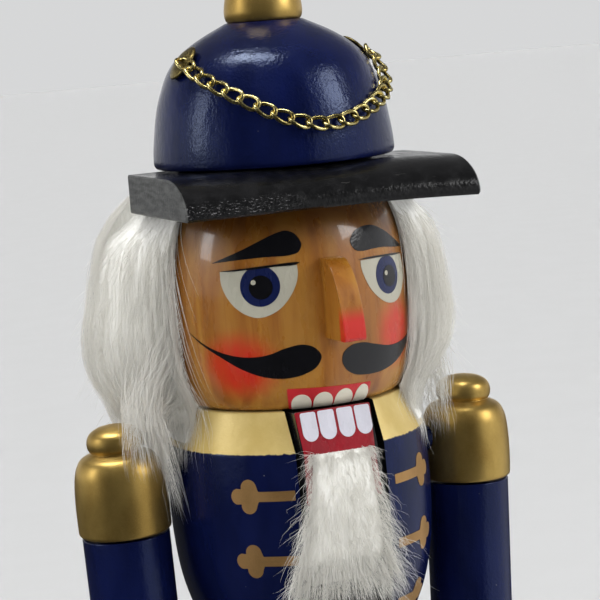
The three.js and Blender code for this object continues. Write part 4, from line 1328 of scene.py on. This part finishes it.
def hair():
    """Long-pile fur round the sides and back of the head: many fine hairs over a soft core."""
    count, k, locks = 6500, 9, 420
    lo, hi = HAIR_AZ
    lock_az = rng.uniform(lo, hi, locks)
    lock_lean = rng.normal(0, 3.5, locks)
    az = rng.uniform(lo, hi, count)
    edge = np.minimum(az - lo, hi - az)  # degrees in from the face's edge of the fur
    layer = rng.uniform(0.80, 1.08, count)
    layer = np.where(rng.uniform(0, 1, count) < 0.12, rng.uniform(0.3, 0.8, count), layer)
    z0 = 270 + 46 * np.clip(rng.uniform(0.2, 1.15, count), 0, 1)
    low = np.maximum(np.where(az > 105, 251.5, 256.0) + 18 * rng.beta(1.0, 2.2, count), z0 - rng.uniform(20, 60, count)) + rng.normal(0, 1.5, count)
    length = np.clip(z0 - low, 10, 66)
    t = np.linspace(0, 1, k)[None, :]
    z = z0[:, None] - length[:, None] * t**1.25
    thick = np.interp(z, HAIR_Z, HAIR_T) * layer[:, None] * (hair_edge(edge) * hair_side(az))[:, None] * hair_low(z, az[:, None])
    r = hair_base(z) + 0.4 + thick * smoothstep(0.25 + t / 0.5) + rng.normal(0, 0.35, (count, 1)) * t
    # sideways: towards a nearby lock, a lean, forward at the face's edge, and a little waviness
    near = np.argmin(np.abs(az[:, None] - lock_az[None, :]) + rng.uniform(0, 4.0, (count, locks)), axis=1)
    pull = (lock_az[near] - az)[:, None] * 0.40 * t**1.3
    slant = (lock_lean[near][:, None] + rng.normal(0, 4.0, (count, 1))) * t**1.2
    front = np.where(az < 180, -1, 1)[:, None] * (np.clip(1 - edge / 40, 0, 1)[:, None]) * 5.0 * t**0.8
    wave = rng.normal(0, 1.3, (count, 1)) * np.sin(t * math.pi * rng.uniform(0.8, 2.0, (count, 1)) + rng.uniform(0, 6.28, (count, 1))) * t
    a = np.radians(az[:, None] + pull + slant + front + wave)
    p = np.stack([r * np.sin(a), -r * np.cos(a), z], -1)
    wild = rng.uniform(0, 1, count) < 0.03
    p[wild] += (rng.normal(0, 1, (wild.sum(), 1, 3)) * (2.4, 2.4, 1.8)) * (t[0] ** 1.5)[None, :, None]
    p = clear_of_body(p)
    rad = rng.uniform(0.05, 0.08, count)
    parts = np.array_split(np.argsort(az), 3)
    for i, (idx, nm) in enumerate(zip(parts, ("left", "back", "right"))):
        strands("hair_" + nm, p[idx], rad[idx], "figure", "hair" if i == 0 else ())
    # wisps over the front of the shoulder caps, and longer ones down between the caps and the coat
    for s, side, m, low, reach, drop in ((-1, "right", 900, 239.5, 11.0, 12.0), (1, "left", 260, 249.0, -3.0, 7.0)):
        t2 = np.linspace(0, 1, k)[None, :, None]
        ra = np.radians(s * rng.uniform(76, 122, m))
        rz = rng.uniform(270, 292, m)
        rr = np.interp(rz, HEAD_S.z, HEAD_S.r) + 0.5
        a0 = np.stack([rr * np.sin(ra), -rr * np.cos(ra), rz], -1)
        out = np.stack([np.sin(ra), -np.cos(ra), 0 * ra], -1)
        gap, w = rng.uniform(0, 1, m) < 0.62, rng.uniform(0, 1, m)
        ex = np.where(gap, rng.uniform(35.6, 39.0, m), 39.3 + reach * w)
        ey = np.where(gap, rng.uniform(-14, 13, m), -12.6 + rng.normal(0, 0.8, m))
        ez = np.where(gap, low + (260 - low) * rng.uniform(0, 1, m), 263 - drop * rng.uniform(0, 1, m) ** 1.5)
        end = np.stack([s * ex, ey, ez], -1)
        a1 = a0 + out * rng.uniform(7, 15, (m, 1)) + (0, 0, -7)
        a2 = end + out * rng.uniform(0, 3, (m, 1)) + (0, 0, 11)
        q = (1 - t2) ** 3 * a0[:, None] + 3 * t2 * (1 - t2) ** 2 * a1[:, None] + 3 * t2**2 * (1 - t2) * a2[:, None] + t2**3 * end[:, None]
        q += rng.normal(0, 0.7, (m, 1, 3)) * t2
        strands("hair_fall_" + side, clear_of_body(q), rng.uniform(0.045, 0.075, m), "figure")
    m = 2600
    az = rng.uniform(70, 276, m)
    z = rng.uniform(258, 314, m)
    e0 = hair_edge(np.minimum(az - lo, hi - az)) * hair_side(az)
    r = hair_base(z) + np.interp(z, HAIR_Z, HAIR_T) * e0 * hair_low(z, az) * rng.uniform(0.80, 0.95, m)
    a = np.radians(az)
    a0 = np.stack([r * np.sin(a), -r * np.cos(a), z], -1)
    out = np.stack([np.sin(a), -np.cos(a), 0 * a], -1)
    d = out * rng.uniform(0.25, 0.9, (m, 1)) + rng.normal(0, 0.35, (m, 3)) + (0, 0, -0.5)
    t2 = np.linspace(0, 1, 7)[None, :, None]
    q = a0[:, None] + rng.uniform(3, 8, (m, 1, 1)) * (d[:, None] * t2 + np.array((0, 0, -0.55)) * t2**2)
    q += rng.normal(0, 0.6, (m, 1, 3)) * np.sin(t2 * rng.uniform(2, 7, (m, 1, 1))) * t2
    strands("hair_halo", clear_of_body(q), rng.uniform(0.03, 0.05, m), "figure")
    # fur under the hat's rim behind the visor: underfur and hairs combed down over it
    def crown(z, az):
        return 26.0 + np.interp(z, [300, 309.5, 316, 320, 324, 327], [23.0, 21.6, 17.4, 13.8, 8.8, 3.6]) * hair_side(az)
    rings = []
    azc = np.linspace(99, 261, 120)
    for z in np.linspace(310.5, 326.9, 16):
        outer = crown(z, azc) * 0.985 + 0.15 * np.sin(azc * 1.1 + z) - 0.6
        outer = np.minimum(outer, 26.0 + (outer - 26.0) * np.clip(0.35 + np.minimum(azc - 99, 261 - azc) / 12, 0, 1))
        a = np.radians(azc)
        o = np.stack([outer * np.sin(a), -outer * np.cos(a), np.full_like(a, z)], -1)
        rim = 25.3 if z > 317.4 else 31.0
        i = np.stack([rim * np.sin(a), -rim * np.cos(a), np.full_like(a, z)], -1)
        rings.append(np.vstack([o, i[::-1]]))
    lofted("hair_crown_core", rings, BACKING, "figure", "white_fur")
    m = 2000
    az = rng.uniform(99, 261, m)
    t2 = np.linspace(0, 1, 7)[None, :]
    z = rng.uniform(317, 326.6, m)[:, None] - rng.uniform(12, 30, m)[:, None] * t2**1.1
    a = np.radians(az[:, None] + rng.normal(0, 4, (m, 1)) * t2)
    r = crown(z, az[:, None]) + rng.uniform(-0.6, 1.4, (m, 1)) * t2 - 1.0 * (1 - t2)
    strands("hair_crown", np.stack([r * np.sin(a), -r * np.cos(a), z], -1), rng.uniform(0.05, 0.08, m), "figure")
    # the core: dense underfur on its backing, thin at the face's edges and round the shoulders
    azs = np.linspace(lo + 1.0, hi - 1.0, 480)
    zs = np.concatenate([np.linspace(258.6, 266.5, 8), np.linspace(267.6, 316.4, 36)])
    e = hair_edge(np.minimum(azs - lo, hi - azs)) * hair_side(azs)
    ridges = [(rng.uniform(0.6, 3.2), rng.uniform(-0.25, 0.25), rng.uniform(0, 6.28)) for _ in range(14)]
    rings = []
    for z in zs:
        inner = np.maximum(np.interp(z, HEAD_S.z, HEAD_S.r, left=0), np.interp(z, TORSO_Z, TORSO_R)) + 0.35
        lump = 1 + 0.035 * np.sin(azs * 0.31 + z * 0.11) + 0.025 * np.sin(azs * 0.83 - z * 0.17)
        comb = sum(np.sin(f * azs + q * (316 - z) + ph) for f, q, ph in ridges) * 0.06
        outer = hair_base(z) + 0.4 + (np.interp(z, HAIR_Z, HAIR_T) * 0.9 * e * hair_low(z, azs) * lump * (1 - 0.30 * smoothstep((z - 310) / 6.5)) + comb * np.minimum(1, e * 1.5)) * smoothstep((z - 256.5) / 11)
        if z < 267:  # room for the shoulders
            outer = np.minimum(outer, 36.6 / np.maximum(np.abs(np.sin(np.radians(azs))), 0.2))
        outer = np.maximum(outer, inner + 0.3)
        a = np.radians(azs)
        o = np.stack([outer * np.sin(a), -outer * np.cos(a), np.full_like(a, z)], -1)
        i = np.stack([inner * np.sin(a), -inner * np.cos(a), np.full_like(a, z)], -1)
        rings.append(np.vstack([o, i[::-1]]))
    # short hairs laid over the face along the fur's two front edges
    m = 1500
    left = rng.uniform(0, 1, m) < 0.5
    az = np.where(left, lo + rng.uniform(0, 9, m), hi - rng.uniform(0, 9, m))
    t2 = np.linspace(0, 1, k)[None, :]
    z = rng.uniform(270, 316, m)[:, None] - rng.uniform(8, 22, m)[:, None] * t2
    sweep = np.where(left, -1, 1)[:, None] * np.abs(rng.normal(0.5, 2.2, (m, 1))) * t2**1.2
    a = np.radians(az[:, None] + sweep)
    r = np.interp(z, HEAD_S.z, HEAD_S.r, left=28.5) + 0.4 + rng.uniform(0.3, 3.4, (m, 1)) * smoothstep(t2 / 0.6) + 0.6 * t2
    strands("hair_edges", clear_of_body(np.stack([r * np.sin(a), -r * np.cos(a), z], -1)), rng.uniform(0.045, 0.075, m), "figure")
    lofted("hair_core", rings, BACKING, "figure", "white_fur")


hair()


BEARD_Z = np.array([221.5, 223.5, 226, 229, 234, 240, 248, 254, 256.6])
BEARD_W = np.array([7.0, 10.4, 12.2, 12.5, 11.8, 10.6, 9.2, 8.6, 8.3])  # half width
BEARD_D = np.array([1.4, 2.6, 3.6, 4.0, 3.9, 3.5, 2.8, 1.9, 1.2])  # how far it stands off the jaw
BEARD_C = np.array([-3.9, -3.9, -3.8, -3.6, -3.0, -2.4, -1.8, -1.5, -1.5])  # middle
JAW_Z = np.array([212, 222, 231, 240, 249, 256.6])
JAW_Y = np.array([-32.6, -32.6, -33.7, -34.0, -33.8, -33.2])


def beard():
    """A trimmed tuft of the same fur on the jaw, spreading downwards."""
    count, k = 3000, 8
    u = rng.uniform(-1, 1, count)
    rim = rng.uniform(0, 1, count) < 0.30  # more hairs along the two sides
    u = np.where(rim, np.sign(u) * (1.02 - 0.20 * rng.uniform(0, 1, count)), u)
    z0 = 223.5 + 33.2 * rng.uniform(0, 1, count) ** 1.15
    z0[:220] = rng.uniform(254.8, 256.7, 220)
    z0[220:900] = rng.uniform(222.6, 230.0, 680)
    w, d = np.interp(z0, BEARD_Z, BEARD_W), np.interp(z0, BEARD_Z, BEARD_D)
    root = np.stack([u * w * 0.98, np.interp(z0, JAW_Z, JAW_Y) - 0.88 * d * np.sqrt(np.clip(1 - np.abs(u) ** 3, 0, 1)), z0], -1)
    length = rng.uniform(4.5, 9.0, count) + 1.0 * smoothstep((232 - z0) / 10)
    length *= 0.5 + 0.5 * smoothstep((257 - z0) / 16)
    # each hair stands off the skin, then bends down
    side = 0.34 + 0.26 * smoothstep((246 - z0) / 14) + np.where(rim, rng.normal(0.15, 0.35, count), 0.0)
    out = np.stack([side * u + rng.normal(0, 0.26, count), -0.55 - 0.25 * rng.uniform(0, 1, count), np.where(z0 > 253.8, 0.40, -0.25) + rng.normal(0, 0.25, count)], -1)
    t = np.linspace(0, 1, k)[None, :, None]
    fall = np.stack([0.20 * u + rng.normal(0, 0.10, count), np.full(count, -0.02), np.full(count, -0.92)], -1)
    p = root[:, None] + length[:, None, None] * (out[:, None] * 0.42 * (1 - (1 - t) ** 2) + fall[:, None] * 0.85 * t**1.5)
    amp = np.abs(rng.normal(0, np.where(rim, 0.75, 0.38)[:, None], (count, 1))) * t[..., 0]
    freq, ph = rng.uniform(3, 8, (count, 1)), rng.uniform(0, 6.28, (count, 2))
    p[..., 0] += amp * np.sin(freq * t[..., 0] + ph[:, :1])
    p[..., 1] += 0.6 * amp * np.sin(freq * t[..., 0] + ph[:, 1:])
    # strays at the sides and the bottom, curlier on the figure's right
    pick = rng.uniform(0, 1, count)
    wild = (pick < 0.02) | ((u < -0.82) & (pick < 0.30)) | ((u > 0.88) & (z0 < 246) & (pick < 0.28)) | ((z0 < 226) & (pick < 0.10))
    kick = np.stack([np.sign(u) * np.abs(rng.normal(2.0, 2.2, count)), -np.abs(rng.normal(0, 1.2, count)), rng.normal(0.0, 2.2, count)], -1)
    p[wild] += kick[wild][:, None, :] * t[0] ** 1.3
    curl = rng.uniform(0.4, 1.3, (count, 1)) * np.sin(t[..., 0] * rng.uniform(4, 11, (count, 1)) + rng.uniform(0, 6.28, (count, 1))) * t[..., 0] ** 0.7
    p[wild, :, 0] += curl[wild]
    p[..., 0] += np.interp(z0, BEARD_Z, BEARD_C)[:, None]
    x0 = root[:, 0]
    # hairs stay in front of the coat
    need = np.interp(p[..., 2], TORSO_Z, TORSO_R) + 1.0
    p[..., 1] = np.where(np.hypot(p[..., 0], p[..., 1]) < need, -np.sqrt(np.maximum(need**2 - p[..., 0] ** 2, 1.0)), p[..., 1])
    rad = np.where(wild, rng.uniform(0.03, 0.045, count), rng.uniform(0.045, 0.07, count))
    for i, (idx, nm) in enumerate(zip(np.array_split(np.argsort(x0), 2), ("right", "left"))):
        strands("beard_" + nm, p[idx], rad[idx], "jaw", "beard" if i == 0 else ())
    # dense underfur on the jaw's front
    rings = []
    for z in np.linspace(223.6, 256.3, 40):
        thin = 0.22 + 0.78 * smoothstep((z - 223) / 9)
        w, d = np.interp(z, BEARD_Z, BEARD_W) * (0.80 + 0.10 * smoothstep((z - 223) / 8)), np.interp(z, BEARD_Z, BEARD_D) * 0.9 * thin
        ang = np.linspace(0, 2 * math.pi, 96, endpoint=False)
        d = d * (1 + 0.10 * np.sin(9 * ang + 0.35 * z) * np.sin(0.8 * z + 4 * ang))
        yb = np.interp(z, JAW_Z, JAW_Y) - 0.12
        r = np.sign(np.sin(ang)) * np.abs(np.sin(ang)) ** 0.6
        yy = np.where(r >= 0, yb - d * r, yb)
        xx = w * np.sign(np.cos(ang)) * np.abs(np.cos(ang)) ** 0.7
        need = np.interp(z, TORSO_Z, TORSO_R) + 0.8
        xx = xx + np.interp(z, BEARD_Z, BEARD_C)
        outside = np.abs(xx + 0.7) > 11.0
        yy = np.where(outside, np.minimum(yy, -np.sqrt(np.maximum(need**2 - xx**2, 1.0))), yy)
        rings.append(np.stack([xx, yy - np.where(r > 0, 0.02, 0.0), np.full_like(xx, z)], -1))
    lofted("beard_core", rings, BACKING, "jaw", "white_fur")


beard()

# ------------------------------------------------------------------ carried-over frame pieces
for name, ob in nodes.items():
    mat = STEEL if name == "jaw_pivot_pin" else NAVY if name.startswith("shoulder_dowel") else BARE if "dowel" in name else None
    if mat:
        for sl in ob.material_slots:
            sl.material = mat
